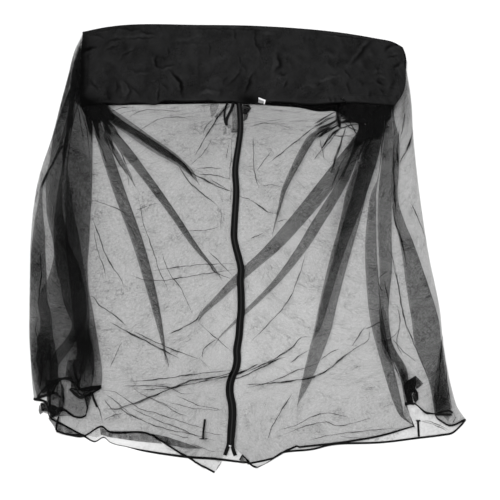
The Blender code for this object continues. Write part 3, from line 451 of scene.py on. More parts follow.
# Creases of the net: width at the middle, then the points. Each is a small pinched fold, and the
# wider it is the more net is pulled into it.
CREASES = (
    # from the left gather to the zip
    (2.2, (228.4, 104), (222, 112), (215, 122), (205, 138)),
    (1.2, (215, 122), (206, 136), (194, 158)),
    (1.0, (126, 120), (136, 113), (148, 110), (180, 112)),
    (1.0, (139, 131), (152, 123), (163, 118), (191, 118)),
    (2.0, (183, 163), (193, 174), (204, 179), (212, 184), (233, 192)),
    (1.2, (239, 196), (245, 198), (251, 200)),
    (1.6, (178.6, 166), (188, 180), (199, 191), (212, 201), (218.5, 207)),
    (1.0, (183, 174), (190, 183), (201, 193)),
    (1.0, (193, 171), (201, 168), (223, 169)),
    (1.3, (198, 174), (212, 175), (231, 179)),
    (1.2, (210, 179), (223, 187), (228, 190)),
    (1.3, (115, 144), (121, 153), (128, 169), (135.5, 187)),
    (1.1, (113, 152), (120, 164), (127, 175), (129, 186)),
    (1.2, (92, 200), (108, 205), (123, 212), (128, 216), (147, 217)),
    (1.5, (92, 217), (97, 230), (104, 250), (110, 263), (121, 279), (124, 287)),
    (1.0, (94, 228), (97, 248), (104, 268), (106, 280)),
    (0.9, (136, 210), (158, 203)),
    (1.0, (183, 231), (206, 230), (223, 226)),
    (0.8, (221, 207), (221, 231)),
    (1.0, (231, 185), (230, 206)),
    (0.9, (229, 143), (226, 160)),
    (1.2, (229, 106), (222, 112), (216, 119)),
    (1.3, (230.6, 132.7), (234, 132), (237.4, 131.2)),
    (1.0, (224, 104.4), (212, 104.6), (198, 106)),
    (1.0, (112, 112), (121, 108.6), (137, 107.4)),
    (0.9, (116, 118), (128, 111.6), (142, 111)),
    (1.0, (214, 118), (206, 127), (203, 134)),
    (1.0, (212, 139), (205, 151), (196, 160), (190, 166)),
    (0.9, (232, 137), (231, 160), (229, 182)),
    (1.1, (139, 199), (143.5, 223), (153, 250), (159.5, 271), (169, 291)),
    # round the right gather
    (1.0, (250, 127), (259.5, 124), (280, 123)),
    (1.6, (325, 123), (314, 128), (298, 140), (283.5, 151.5), (269, 163)),
    (1.0, (272, 150), (256, 172)),
    (1.6, (331, 132), (323, 147), (314, 159.5)),
    (3.0, (345.6, 128), (340.5, 143.5), (334, 163), (330, 176)),
    (1.2, (320, 139), (324, 159.5)),
    (2.4, (314, 136), (324, 130.4), (337, 123.4)),
    (2.0, (316, 130), (326, 125.6), (337, 121.6)),
    (1.8, (318, 139), (327, 132), (336, 127)),
    (1.6, (312, 128), (322, 123), (331, 118.4)),
    (4.6, (336, 106), (338, 117), (340, 129)),
    (3.6, (337, 112), (344, 114.6), (352, 120)),
    (3.4, (338, 123), (346, 121.6), (357, 123)),
    (3.6, (340, 118), (330, 124), (316, 130)),
    (3.4, (341, 124), (330, 129.4), (315, 139)),
    (3.0, (342, 127), (334, 133), (321, 149)),
    (2.6, (337, 111), (327, 116.6), (314, 124)),
    (2.0, (339, 119), (348, 119), (360, 124)),
    (1.8, (338, 129), (347, 126.4), (360.6, 124)),
    (1.4, (339, 128), (331, 140), (322, 151)),
    (1.6, (316, 126), (325, 120.4), (336, 116)),
    (1.4, (322, 133), (329, 129), (337, 126)),
    (2.2, (344, 123), (350, 127.6), (358, 131)),
    (2.2, (349, 121), (352, 126), (356, 134)),
    (1.2, (333, 135.6), (344, 136.2), (353, 136.4)),
    (2.4, (358, 142), (353, 152), (348, 162)),
    (2.0, (367, 136), (362, 148), (357, 162)),
    (1.8, (372, 138), (366, 150), (363, 166)),
    (2.6, (394, 138), (393.2, 160), (394, 186), (395.6, 215)),
    (1.6, (387, 118), (383, 136), (380, 156)),
    (1.2, (253, 137), (255, 175), (259.5, 190)),
    (1.0, (261, 186), (269, 185), (282, 187)),
    (1.6, (248, 199), (259.5, 206), (271, 213), (279.5, 213)),
    (1.1, (250, 239), (264, 233)),
    (1.1, (275.5, 222.5), (287, 219)),
    (2.4, (413, 130), (411, 139), (405.5, 151.5), (399, 164)),
    (1.4, (405, 112), (402.5, 128), (400, 139)),
    (2.0, (399, 130), (397, 150), (398, 166)),
    (1.2, (408.8, 200), (417.5, 217), (426, 240)),
    (2.2, (392, 205), (395, 222), (401.5, 242), (404, 255)),
    (1.6, (347, 153), (341, 164), (336, 175), (331, 190)),
    (1.4, (352, 160), (345, 172), (338, 186)),
    # across the lower left
    (1.5, (89, 296), (94, 297), (99, 305), (112, 313), (127.6, 327)),
    (2.2, (111.6, 322.6), (124, 330), (140, 338), (163, 350), (180, 358.5)),
    (1.5, (131, 330), (151.5, 340), (172, 349), (188, 355), (200, 359)),
    (1.4, (163, 350), (167.5, 360), (169, 368)),
    (1.2, (151.5, 271), (175, 267.5), (196, 265), (236, 263.5)),
    (1.3, (131, 275), (143.5, 279.5), (166, 280), (191, 276), (237.6, 269)),
    (1.0, (161, 250), (169, 272), (180, 287), (193, 315)),
    (1.5, (199, 250), (208, 263), (215, 271.5), (231, 279)),
    (1.2, (207, 250), (218.5, 261), (234, 277)),
    (2.0, (202, 309), (196, 320), (185, 326.5), (169, 334)),
    (1.2, (198, 322), (210.5, 333), (223, 344), (233, 352)),
    (1.5, (218, 338), (207, 346), (202.5, 352), (202.5, 358.5)),
    # the long pulled folds across the hem, below the middle
    (2.6, (243, 369), (226, 374), (211, 378), (195, 379.6), (170, 389), (140, 401), (121, 407)),
    (3.2, (258, 364), (244, 371), (230, 375.4), (214, 378.6)),
    (1.8, (254, 372), (240, 377), (226, 381)),
    (1.5, (150, 399), (130, 405), (118, 408.5), (103, 409)),
    (1.7, (131, 381.6), (159.5, 379), (195, 374), (231, 370)),
    (1.3, (121, 386), (143.5, 385.6), (167.5, 387), (183, 393.5), (193, 393.5)),
    (1.7, (139, 390), (175, 387), (204, 381), (225, 377.6)),
    (1.2, (132, 387), (143.5, 395), (159.5, 401.5), (180, 411)),
    (1.1, (175.5, 395), (199, 405), (223, 409.5)),
    (1.3, (102, 390), (115, 392), (127.6, 400), (139, 408), (159.5, 414), (183, 422), (207, 429)),
    (1.1, (112, 398), (123, 409.5), (132, 417.5)),
    (1.4, (118, 408), (141.6, 420), (166.6, 429), (192, 434), (216.6, 440.8)),
    (1.2, (131, 408), (151.5, 417.5), (175.5, 427), (190, 433)),
    (1.0, (163, 400), (180, 405), (193, 408), (223, 410)),
    (1.0, (166, 423), (184, 430), (200, 438)),
    (1.0, (190, 443), (205, 448.6), (217, 452)),
    (1.0, (198, 431), (212, 433), (224, 435)),
    (1.0, (104, 393), (116, 401), (128, 412), (141, 419)),
    (1.0, (103, 398), (113, 410), (121, 419)),
    (1.0, (150, 399), (163, 404), (176, 412), (190, 417)),
    (1.6, (222, 460.4), (219, 466), (215.4, 471)),
    (1.2, (96.5, 402), (100.5, 414), (103, 424)),
    (1.2, (103.5, 420), (115, 415), (123, 413)),
    (1.1, (169, 433), (180, 436), (191, 438)),
    (0.9, (110, 368), (120, 346), (123, 341)),
    # lower right
    (1.4, (306.6, 250), (299.5, 274), (288, 301), (272, 320), (250, 342.5)),
    (2.0, (246, 372), (266, 363), (290, 349), (302.6, 337), (310.6, 337)),
    (1.4, (290, 363), (302.6, 353.7), (309, 350)),
    (2.4, (246, 375), (262, 367), (280, 358.5), (286, 357)),
    (1.4, (246, 388), (271, 381.6), (298, 370), (318.6, 363)),
    (2.4, (246, 384.6), (282, 382), (318.6, 375), (330, 368), (345.7, 355), (365, 342)),
    (1.4, (320, 360), (331, 352), (339, 349)),
    (1.4, (351, 347), (358.5, 336), (365, 326.6)),
    (1.5, (365, 329), (374, 325), (387, 318.6)),
    (1.3, (369.6, 330), (368, 339), (361.6, 345.7)),
    (1.5, (293, 392), (282, 409.5), (272, 427), (267.5, 440)),
    (1.2, (280, 430), (298, 424), (318.6, 414), (336, 414), (349, 417.5)),
    (1.2, (282, 435), (302.6, 427), (325, 422), (338, 425.5), (361.6, 420.6), (371, 417.5)),
    (1.2, (306, 441), (330, 435), (353.7, 432), (393.5, 428)),
    (0.9, (339, 436), (352, 437.5), (368, 438)),
    (1.5, (392, 255), (396.7, 277), (404.7, 320), (417.5, 352), (430, 382)),
    (1.2, (396.7, 304), (400, 322), (396.7, 342.5), (403, 357)),
    (1.2, (392, 339), (406, 353.7), (416, 361.6)),
    (1.6, (387, 270.7), (378.4, 279), (381.4, 292)),
    (1.4, (384, 278.7), (386.6, 292), (388.8, 305.8)),
    (1.3, (378, 302), (381.4, 330), (388, 352), (399, 376), (404, 390)),
    (1.8, (442.5, 335), (441, 347.5), (439.6, 362)),
    (2.0, (441.4, 342), (440, 362), (438.8, 382), (437.4, 400)),
    (1.8, (445.6, 362), (446.4, 378), (449.6, 400)),
    (2.0, (433.6, 392), (436, 402), (436.6, 412)),
    (1.2, (453, 413), (455, 417), (452.5, 424)),
    (1.4, (393.6, 214), (397, 228.6)),
    (1.2, (398.6, 227), (404.3, 253), (406.4, 267)),
    (1.2, (386.4, 247), (392, 257), (394.3, 270), (398.6, 287), (402, 308.6), (410.7, 344)),
    (1.2, (375, 341), (386.4, 340.7), (402, 327)),
    (1.0, (420.5, 421), (434, 424.5), (447, 431)),
    # the left branch and its hem
    (3.4, (68, 141), (59, 152), (53, 164), (46, 177), (40, 192)),
    (1.2, (38.5, 190), (37, 196), (35.5, 203)),
    (5.4, (76.5, 64), (73.5, 92), (72, 110), (69.6, 126), (66.8, 141), (64.6, 156), (63.4, 172)),
    (2.6, (81, 104), (86, 116), (90, 130), (92.6, 144)),
    (1.6, (78, 106), (81, 122), (83.6, 140)),
    (1.4, (80, 106), (85.4, 122), (88.6, 142), (90, 158)),
    (3.4, (102, 122), (107, 133), (113, 146), (116, 154)),
    (2.0, (94, 128), (98, 140), (103, 152), (107, 164)),
    (1.6, (104, 128), (110, 143), (116, 157), (121, 168)),
    (2.4, (105, 118), (113, 127), (121, 138)),
    (6.0, (82, 94), (85, 107), (89, 121), (92, 137)),
    (7.0, (89, 94), (92, 108), (96, 124), (100, 141)),
    (7.0, (95, 94), (99, 108), (105, 123), (111, 135)),
    (4.6, (98, 112), (103, 119), (109, 124), (116, 128)),
    # the crumple at the lower left
    (3.6, (45.4, 374), (48, 386), (49.4, 398), (50.6, 410)),
    (2.8, (61, 379), (63, 392), (63.4, 405)),
    (2.8, (52, 391), (57, 394), (62, 398)),
    (2.4, (62, 379), (64, 393), (64.4, 407)),
    (3.2, (74, 356), (75, 368), (77, 379), (78.6, 390)),
    (2.4, (84, 356), (82, 366), (80, 378), (76, 388)),
    (2.0, (66, 366), (70, 372), (72, 380)),
    (2.6, (71, 388), (78, 389), (84, 391)),
    (1.6, (94, 362), (93.6, 374), (92.6, 384)),
    (2.0, (41, 352), (42.6, 366), (41, 382), (38, 394)),
    (2.6, (50, 340), (50.6, 356), (52, 372)),
    (2.0, (40.5, 252), (41.5, 275), (38, 305)),
    (1.4, (38, 318), (36, 330), (39, 343)),
    (1.4, (88, 352), (92, 366), (93.5, 380)),
    (1.0, (84, 384), (86, 372), (90, 362)),
    (1.0, (95, 388), (95.5, 374), (93, 362)),
    (1.0, (421, 420.5), (431, 421.8), (445, 428), (450, 431.5)),
)

# Places where the net lies doubled over or bunched: how dense, then the outline.
PATCHES = (
    # hem turned up at the lower left, with its pointed end
    (1.5, (100, 428), (110, 430.6), (139, 431), (152.5, 433.4), (160, 440), (162, 443.5),
     (137.6, 441.4), (109, 437), (101, 434.4)),
    (1.9, (151.7, 433.3), (166, 436.4), (203, 448.3), (185, 448), (170, 445), (156.7, 440)),
    # the crumple at the lower left corner
    (1.5, (46.8, 402), (41.4, 402.6), (39, 406), (38.6, 411), (40, 414.6), (43.4, 412.4),
     (48, 414)),
    (2.6, (40.6, 403), (48, 402), (49, 411.6), (41.4, 411)),
    (1.9, (50, 414), (58, 420), (56.4, 430), (53.4, 425.6), (48.6, 418.6)),
    (0.5, (86, 435), (96, 430.6), (103, 427.6), (104, 434), (97, 437.4)),
    (1.7, (56, 430), (68.6, 434), (83, 435), (66, 425), (58, 420)),
    (2.0, (47.4, 380), (61, 379.6), (64.6, 397), (63.6, 408), (56, 409), (47, 407), (46.8, 395)),
    (5.2, (46.6, 405), (52, 403.6), (58, 407), (63.6, 406), (64.4, 409.4), (60, 413), (57, 417),
     (52, 418), (48, 412.6)),
    (1.2, (57, 410), (64, 407.6), (75, 415), (66, 416), (56, 416.4)),
    (1.2, (68, 360), (86, 358), (86, 368), (81, 380), (79, 396), (71, 389), (72, 380), (66, 373)),
    (2.0, (81, 388.4), (91.7, 385.4), (101.7, 385), (101.4, 387.4), (91.7, 394.4),
     (84.6, 396.6)),
    (2.0, (85, 396), (92.4, 394), (88.4, 409)),
    # the crumple beside the right hem
    (3.9, (403, 385.4), (408, 380), (415.6, 375.6), (416, 383), (415.2, 390), (411.6, 394),
     (413.4, 403.4), (406.8, 403), (404.6, 393)),
    (2.4, (415.2, 388), (417.8, 392), (418.4, 399), (415, 403.6), (412, 396)),
    (0.6, (404.6, 403), (406.4, 408), (409.4, 416), (412, 424), (406, 420), (403, 411)),
    (1.9, (415.4, 375.4), (423.2, 383.4), (417.9, 388.2), (416, 389)),
    (1.0, (443, 415.8), (449.8, 413.4), (448.2, 421.6)),
    (0.9, (441, 340), (444, 350), (445.4, 362), (446.6, 376), (449, 392), (452, 408), (446, 410),
     (440, 413), (435, 413.4), (433.6, 398), (434, 384), (436, 372), (438, 358)),
    # beside it, where two of the long folds lie on each other
    (0.7, (382.6, 304), (384.6, 310), (387.6, 319), (390, 331), (391.6, 341), (397, 353),
     (403, 364), (408, 374), (404, 380), (398, 374), (392, 366), (386, 357.6), (382, 348),
     (380.4, 338), (380, 322), (380.6, 312)),
    # a short narrow fold between two of the left gather's
    (1.3, (104, 132), (110, 140), (116.4, 149), (121, 157), (126, 166.6), (131, 177), (136, 188.4),
     (129, 176.4), (123, 168.6), (117, 160.6), (112, 152), (107.4, 144), (104, 138)),
    # the small turned corner at the front hem
    (1.7, (239.5, 460.6), (242.4, 454.8), (249.5, 461.3)),
    # beside the zip's top
    (0.9, (232.2, 104), (237.6, 104), (237.6, 131.5), (232, 132)),
    (1.9, (243.7, 113.7), (248.4, 113.7), (247, 119.4), (243.6, 121.2)),
    (3.9, (243, 104.6), (249.4, 105), (251, 108.6), (248.6, 112.4), (246, 114.4), (243, 114)),
    (0.7, (226, 104.4), (232, 104.4), (223, 113.6), (216.4, 120), (215, 116.4)),
    (0.6, (209.6, 105), (219, 105), (216, 112.6), (211.6, 117.6)),
    (0.9, (230.8, 128.8), (237.2, 128.6), (237.2, 132.4), (230.8, 132.6)),
    (0.5, (222.6, 135.4), (224, 128.4), (226.4, 127), (226.6, 134)),
    # the net bunched under the roof's edge, at the left and at the right
    (4.6, (81.5, 38), (77.4, 49), (74.2, 60), (71.8, 72), (70, 85), (69.4, 100), (75, 104),
     (79, 105.6), (86, 99), (86, 54)),
    (4.6, (75, 88), (75.6, 102), (80, 108), (85, 114), (89, 119), (94, 123), (99, 124),
     (105, 122.4), (111, 122), (115.6, 120), (115.6, 116), (112.6, 111.4), (109.6, 106.6),
     (107, 101), (104, 88)),
    (5.0, (336, 98), (337, 111), (338.5, 115), (342, 119), (350, 121), (358, 124), (358, 131),
     (355.4, 138), (354, 145), (360, 147), (366, 142), (372, 141), (381.6, 140),
     (386, 131), (389.4, 122), (393.8, 115), (397, 106), (393, 98)),
    (1.5, (335.6, 110), (335.4, 118), (336.4, 126), (339, 128), (341, 124), (341, 118),
     (346, 112)),
)
# Hem tape that shows beside the net's own edge: width, then the points.
HEM_TURNS = (
    (0.0095, (33.6, 398.6), (39.5, 399.4), (46.8, 402)),
    (0.0065, (59, 377.8), (65, 378.6), (72.4, 379.3)),
    (0.012, (70, 388.6), (75, 393), (79.6, 396.8), (85, 395.6)),
    (0.014, (81.5, 389.6), (91.5, 387.6), (101.6, 386.4)),
    (0.0085, (58.8, 416.5), (57.2, 423), (56.2, 430)),
    (0.0085, (56.2, 430), (62, 433), (70, 434.4), (84, 435)),
    (0.009, (438, 413.2), (442, 411.6), (446, 410.6), (449.6, 410.8), (452.6, 412.6)),
    (0.0075, (84.8, 395.6), (86.4, 402), (87.6, 408), (86.6, 412.6)),
    (0.0095, (404.5, 403), (409.5, 403.4), (414, 404)),
    (0.006, (239.6, 460), (242.4, 454.8)),
    (0.006, (242, 454.6), (249.4, 461.6)),
    (0.0045, (199.4, 438.4), (203, 438.7), (207.6, 438.5)),
    (0.0065, (416.2, 421), (418.4, 420.6), (420.4, 420.9)),
)

# Where the net is crushed, and so denser: middle, reach both ways, turn in degrees, how much.
CRUSHES = (
    Crush(67, 84, 8, 30, 16, 1.4),
    Crush(55, 122, 8, 34, 16, 0.45),
    Crush(354, 143, 5, 12, 27, 0.7),
    Crush(345, 205, 9, 52, 17, 0.35),
    Crush(76, 404, 13, 13, 0, 0.35),
    Crush(66, 230, 26, 110, 0, 0.55),
    Crush(36, 262, 8, 24, 0, 0.5),
    Crush(42, 360, 12, 30, 0, 0.75),
    Crush(205, 122, 60, 32, 0, 0.22),
    Crush(290, 118, 60, 22, 0, 0.15),
    Crush(362, 160, 22, 50, 15, 0.2),
    Crush(85, 346, 13, 20, 0, 0.9),
    Crush(80, 165, 14, 60, 0, 0.2),
    Crush(403, 95, 8, 34, -8, 0.7),
    Crush(440, 396, 8, 18, -6, 0.6),
    Crush(404, 379, 5, 10, -25, 0.8),
    Crush(386, 350, 7, 14, -15, 0.2),
    Crush(290, 330, 100, 90, 0, -0.17),
    Crush(235, 345, 16, 60, 0, -0.12),
    Crush(120, 442, 30, 8, 8, -0.5),
)


# ---------------------------------------------------------------- plan and curves
def metres(points):
    """Plan points as metres in the part's frame: x less the middle, the middle less y, scaled."""
    p = np.asarray(points, float)
    return np.stack([(p[..., 0] - PLAN_MIDDLE[0]) * UNIT, (PLAN_MIDDLE[1] - p[..., 1]) * UNIT], -1)


def smooth(knots, values, at):
    """Hermite cubics through the values at the knots, each slope the mean of its two chords'.

    values may have further axes behind the first one.
    """
    k, y = np.asarray(knots, float), np.asarray(values, float)
    at = np.clip(at, k[0], k[-1])
    spread = (...,) + (None,) * (y.ndim - 1)
    chord = np.diff(y, axis=0) / np.diff(k)[spread]
    slope = np.concatenate([chord[:1], (chord[:-1] + chord[1:]) / 2, chord[-1:]])
    i = np.clip(np.searchsorted(k, at, side="right") - 1, 0, len(k) - 2)
    h = (k[i + 1] - k[i])[spread]
    t = (at - k[i])[spread] / h
    return (
        (1 + 2 * t) * (1 - t) ** 2 * y[i]
        + t * (1 - t) ** 2 * h * slope[i]
        + t * t * (3 - 2 * t) * y[i + 1]
        + t * t * (t - 1) * h * slope[i + 1]
    )


def along(points, shares, axis):
    """Plan points at shares of a line's reach along one axis, 0 for x and 1 for y."""
    p = np.asarray(points, float)
    knots = (p[:, axis] - p[0, axis]) / (p[-1, axis] - p[0, axis])
    other = smooth(knots, p[:, 1 - axis], shares)
    main = p[0, axis] + shares * (p[-1, axis] - p[0, axis])
    return np.stack([main, other] if axis == 0 else [other, main], -1)


def finer(points, step):
    """A smooth line through plan points, in metres, with a point about every step."""
    p = metres(points)
    knots = np.concatenate([[0], np.cumsum(np.linalg.norm(np.diff(p, axis=0), axis=1))])
    return smooth(knots, p, np.linspace(0, knots[-1], max(3, int(knots[-1] / step) + 1)))


def sideways(line):
    """Unit vectors to the left of a flat line's way, one for each of its points."""
    ahead = np.gradient(line, axis=0)
    side = np.stack([-ahead[:, 1], ahead[:, 0]], -1)
    return side / np.linalg.norm(side, axis=1, keepdims=True)


def raised(plan, z):
    """Plan points with a height each, as 3-D points."""
    return np.concatenate([plan, z[..., None]], -1)


PULL_POWER = 9  # a hem line bends late to where its lower end is pulled
MOST_SHOULDER = 0.5  # of the way to the next line
TIGHT_FROM = 2 * UNIT  # a pleat this wide is fully tight


def hem_points(line, before, after, shares):
    """A hem line between the two folds beside it, with its lower end pulled to its place.

    The pull grows as the ninth power of the share of the way down.
    """
    share, *pulled_to = line.points[0]
    between = before * (1 - share) + after * share
    pull = np.array(pulled_to) - between[-1]
    return metres(between + pull * shares[:, None] ** PULL_POWER)


def expanded(lines, heading, top):
    """Every line as a Course, with points in metres by row: a pleat as two folds and a shoulder.

    heading is +1 where the cloth is followed to the right. A pleat's second fold is its first one
    moved against the heading by the pleat's width. top says whether the layer before or after a
    pleat lies on it, and the shoulder is where that layer has come down beside the pleat.
    """
    shares = np.linspace(0, 1, NET_ROWS)
    middles = [None if line.kind == "hem" else along([q[:2] for q in line.points], shares, 1)
               for line in lines]
    known = [i for i, middle in enumerate(middles) if middle is not None]
    found = []
    for i, line in enumerate(lines):
        if line.kind == "hem":
            before = middles[max(k for k in known if k < i)]
            after = middles[min(k for k in known if k > i)]
            found.append(Course(False, hem_points(line, before, after, shares)))
            continue
        here = metres(middles[i])
        tape = ON_EDGE.get(line.name, 1.0)
        if line.kind != "pleat":
            found.append(Course(line.kind == "fold", here, 0.0, tape))
            continue
        p = np.asarray(line.points, float)
        knots = (p[:, 1] - p[0, 1]) / (p[-1, 1] - p[0, 1])
        width = smooth(knots, p[:, 2], shares)[:, None] * np.array([UNIT, 0.0])
        tucked = here - heading * width
        neighbour, limited = (i - 1, np.maximum) if top == "before" else (i + 1, np.minimum)
        covered = here - heading * limited(width, 0)
        away = metres(middles[neighbour]) - covered
        far = np.maximum(np.linalg.norm(away, axis=1, keepdims=True), 1e-6)
        shoulder = Course(False, covered + away * np.minimum(SHOULDER / far, MOST_SHOULDER))
        tight = TIGHT.get(line.name, USUALLY_TIGHT) - 1
        tight = tight * np.clip(width[:, 0] / TIGHT_FROM, 0, 1)
        folds = [Course(True, here, tight, tape), Course(True, tucked, 0.0, tape)]
        if lines[neighbour].kind == "pleat":
            found += folds
        else:
            found += [shoulder] + folds if top == "before" else folds + [shoulder]
    return found


# ---------------------------------------------------------------- laying one layer on another
QUAD_SAMPLES = (4, 4)  # points that stand for one quad, each way
EASINGS = 2  # rounds in which a height may sink by SINK at most
SINK = 0.0002


class Pile:
    """A map of how high the layers laid so far reach, on square cells."""

    def __init__(self):
        """At first the map is level, half a sheet above the floor."""
        side = int(2 * MAP_HALF / CELL)
        self.top = np.full((side, side), SHEET / 2)

    def cells(self, points):
        """The map cells that hold the points."""
        found = ((points[..., :2] + MAP_HALF) / CELL).astype(int)
        return found[..., 0], found[..., 1]

    def samples(self, corners, count):
        """Points spread over each quad of a grid, by mixing its four corners."""
        a = np.linspace(0, 1, count[0])[:, None, None]
        b = np.linspace(0, 1, count[1])[None, :, None]
        p = corners[..., None, None, :]
        return (
            p[:-1, :-1] * (1 - a) * (1 - b)
            + p[1:, :-1] * a * (1 - b)
            + p[:-1, 1:] * (1 - a) * b
            + p[1:, 1:] * a * b
        )

    def rest(self, plan, count=QUAD_SAMPLES):
        """Heights at which a grid of plan points clears everything below its quads.

        Each quad takes the highest cell that it covers, each point the highest of its quads, and
        the heights are then eased so that steps become short slopes.
        """
        wide = self.top.copy()
        for axis in (0, 1):
            wide = np.maximum(wide, np.maximum(np.roll(wide, 1, axis), np.roll(wide, -1, axis)))
        under = wide[self.cells(self.samples(plan, count))].max(axis=(-2, -1))
        padded = np.pad(under, 1, mode="edge")
        z = np.maximum.reduce([padded[:-1, :-1], padded[1:, :-1], padded[:-1, 1:],
                               padded[1:, 1:]])
        for _ in range(EASINGS):
            z = np.maximum(z - SINK, eased(z))
        return eased(z)

    def lay(self, points):
        """Raises the map to the middle of the next sheet over a grid of points."""
        spread = self.samples(points, QUAD_SAMPLES)
        np.maximum.at(self.top, self.cells(spread), spread[..., 2] + PITCH)

    def height_at(self, point, reach):
        """The map's highest level within a square round a point."""
        x, y = ((np.asarray(point) + MAP_HALF) / CELL).astype(int)
        r = int(np.ceil(reach / CELL))
        return self.top[x - r:x + r + 1, y - r:y + r + 1].max()


def eased(z):
    """A grid of heights, each mixed with its neighbours by 1, 2, 1 both ways."""
    for axis in (0, 1):
        if z.shape[axis] < 3:
            continue
        a = np.moveaxis(z, axis, 0)
        a = np.concatenate([a[:1], (a[:-2] + 2 * a[1:-1] + a[2:]) / 4, a[-1:]])
        z = np.moveaxis(a, 0, axis)
    return z


def panels(lines):
    """The lines split at the folds: each panel is a range of lines, both ends included."""
    folds = [i for i, line in enumerate(lines) if line.fold]
    ends = [0] + folds + [len(lines) - 1]
    return list(zip(ends[:-1], ends[1:]))


def panel_grid(plan, first, last, step):
    """One panel's columns: cubics across its lines, a column about every step.

    The knots are the mean distances between the lines, so a column is at one share of the way
    across on every row. The step holds on nine rows in ten.
    """
    part = plan[first:last + 1]
    gaps = np.linalg.norm(np.diff(part, axis=0), axis=-1)
    usual = np.maximum(gaps.mean(axis=1), 1e-4)
    knots = np.concatenate([[0], np.cumsum(usual)])
    widest = np.percentile(gaps, 90, axis=1)
    at = [0.0]
    for i in range(len(part) - 1):
        count = max(1, int(np.ceil(widest[i] / step)))
        at += list(knots[i] + usual[i] * np.arange(1, count + 1) / count)
    at = np.array(at)
    if len(part) < 3:
        share = (at / knots[-1])[:, None, None]
        return part[0] * (1 - share) + part[1] * share
    return smooth(knots, part, at)


SWELL = 0.0009
FINE_SWELL = 0.0003


def unrest(plan, number):
    """A slow swell of the cloth, in metres: two crossed waves whose place differs by panel."""
    x, y = plan[..., 0], plan[..., 1]
    turn = number * 0.4
    waves = np.sin(9.0 * x + 4.0 * y + turn) * np.sin(7.0 * y - 3.0 * x + 1.7 * turn)
    fine = np.sin(31.0 * x - 12.0 * y + 2.0 * turn) * np.sin(24.0 * y + 9.0 * x + turn)
    return SWELL * (1 + waves) + FINE_SWELL * (1 + fine)


def lay_strip(pile, lines, order, step, swell=1.0):
    """Lays a folded strip, one panel after another, and gives each panel's 3-D columns."""
    plan = np.array([line.points for line in lines])
    laid = {}
    for number, panel in enumerate(order):
        part = panel_grid(plan, *panel, step)
        grid = raised(part, pile.rest(part) + swell * unrest(part, number))
        pile.lay(grid)
        laid[panel] = grid
    return laid


FOLD_TURNS = (-75.0, -40.0, 0.0, 40.0, 75.0)  # degrees round a fold, a column at each
MOST_INSET = 0.45  # of the way to the next column


def fold_turn(before, after):
    """The columns round one fold, between the panel before it and the panel after it.

    The sheet comes in on one panel's height, goes round half a circle seen from the end, and
    leaves on the next panel's height. The circle's radius is half the difference.
    """
    low, high, edge = before[-1, :, 2], after[0, :, 2], after[0, :, :2]
    radius = np.abs(high - low) / 2
    back_way, on_way = before[-2, :, :2] - edge, after[1, :, :2] - edge
    bends = []
    for turn in FOLD_TURNS:
        way = back_way if turn < 0 else on_way
        far = np.maximum(np.linalg.norm(way, axis=1), 1e-9)
        inset = np.minimum(radius * (1 - np.cos(np.radians(turn))), far * MOST_INSET)
        z = (low + high) / 2 + (high - low) / 2 * np.sin(np.radians(turn))
        bends.append(raised(edge + way / far[:, None] * inset[:, None], z))
    return bends


def join_panels(laid, spans):
    """The panels joined into one strip, with a round turn in place of each fold's column."""
    columns = list(laid[spans[0]][:-1])
    for before, after in zip(spans[:-1], spans[1:]):
        columns += fold_turn(laid[before], laid[after])
        columns += list(laid[after][1:-1])
    columns.append(laid[spans[-1]][-1])
    return np.array(columns)


# ---------------------------------------------------------------- meshes
def linked(name, mesh):
    """An object in the scene for a mesh, shaded smooth."""
    mesh.polygons.foreach_set("use_smooth", np.full(len(mesh.polygons), True))
    made = bpy.data.objects.new(name, mesh)
    bpy.context.collection.objects.link(made)
    return made


def mesh_object(name, points, faces, uv=None, values=None):
    """A mesh from arrays: quads, a UV for each point and named numbers for each point."""
    mesh = bpy.data.meshes.new(name)
    mesh.vertices.add(len(points))
    mesh.vertices.foreach_set("co", np.asarray(points, np.float32).ravel())
    count, sides = faces.shape
    mesh.loops.add(count * sides)
    mesh.loops.foreach_set("vertex_index", faces.astype(np.int32).ravel())
    mesh.polygons.add(count)
    mesh.polygons.foreach_set("loop_start", np.arange(0, count * sides, sides, dtype=np.int32))
    mesh.update(calc_edges=True)
    if uv is not None:
        layer = mesh.uv_layers.new(name="cloth")
        layer.data.foreach_set("uv", np.asarray(uv, np.float32)[faces.ravel()].ravel())
    for key, value in (values or {}).items():
        mesh.attributes.new(key, "FLOAT", "POINT").data.foreach_set(
            "value", np.asarray(value, np.float32).ravel())
    return linked(name, mesh)


def grid_faces(columns, rows):
    """The quads of a grid whose points go row by row within each column."""
    index = np.arange(columns * rows).reshape(columns, rows)
    return np.stack([index[:-1, :-1], index[1:, :-1], index[1:, 1:], index[:-1, 1:]],
                    -1).reshape(-1, 4)


def cloth_uv(grid):
    """Flat cloth sizes in metres: how far along the strip, and how far down each column."""
    across = np.linalg.norm(np.diff(grid, axis=0), axis=-1)
    down = np.linalg.norm(np.diff(grid, axis=1), axis=-1)
    u = np.concatenate([np.zeros((1, grid.shape[1])), np.cumsum(across, axis=0)])
    v = np.concatenate([np.zeros((grid.shape[0], 1)), np.cumsum(down, axis=1)], axis=1)
    return np.stack([u, v], -1)


def grid_parts(grid):
    """A grid's points, quads and cloth UVs."""
    return grid.reshape(-1, 3), grid_faces(*grid.shape[:2]), cloth_uv(grid).reshape(-1, 2)


def cloth_object(name, grid, values=None):
    """A sheet of cloth from a grid of 3-D points."""
    return mesh_object(name, *grid_parts(grid), values)


def closed_tube(rings):
    """Faces round a closed tube of rings, from the first ring to the last."""
    count, around = rings.shape[:2]
    index = np.arange(count * around).reshape(count, around)
    beside = np.roll(index, -1, 1)
    return np.stack([index[:-1], beside[:-1], beside[1:], index[1:]], -1).reshape(-1, 4)


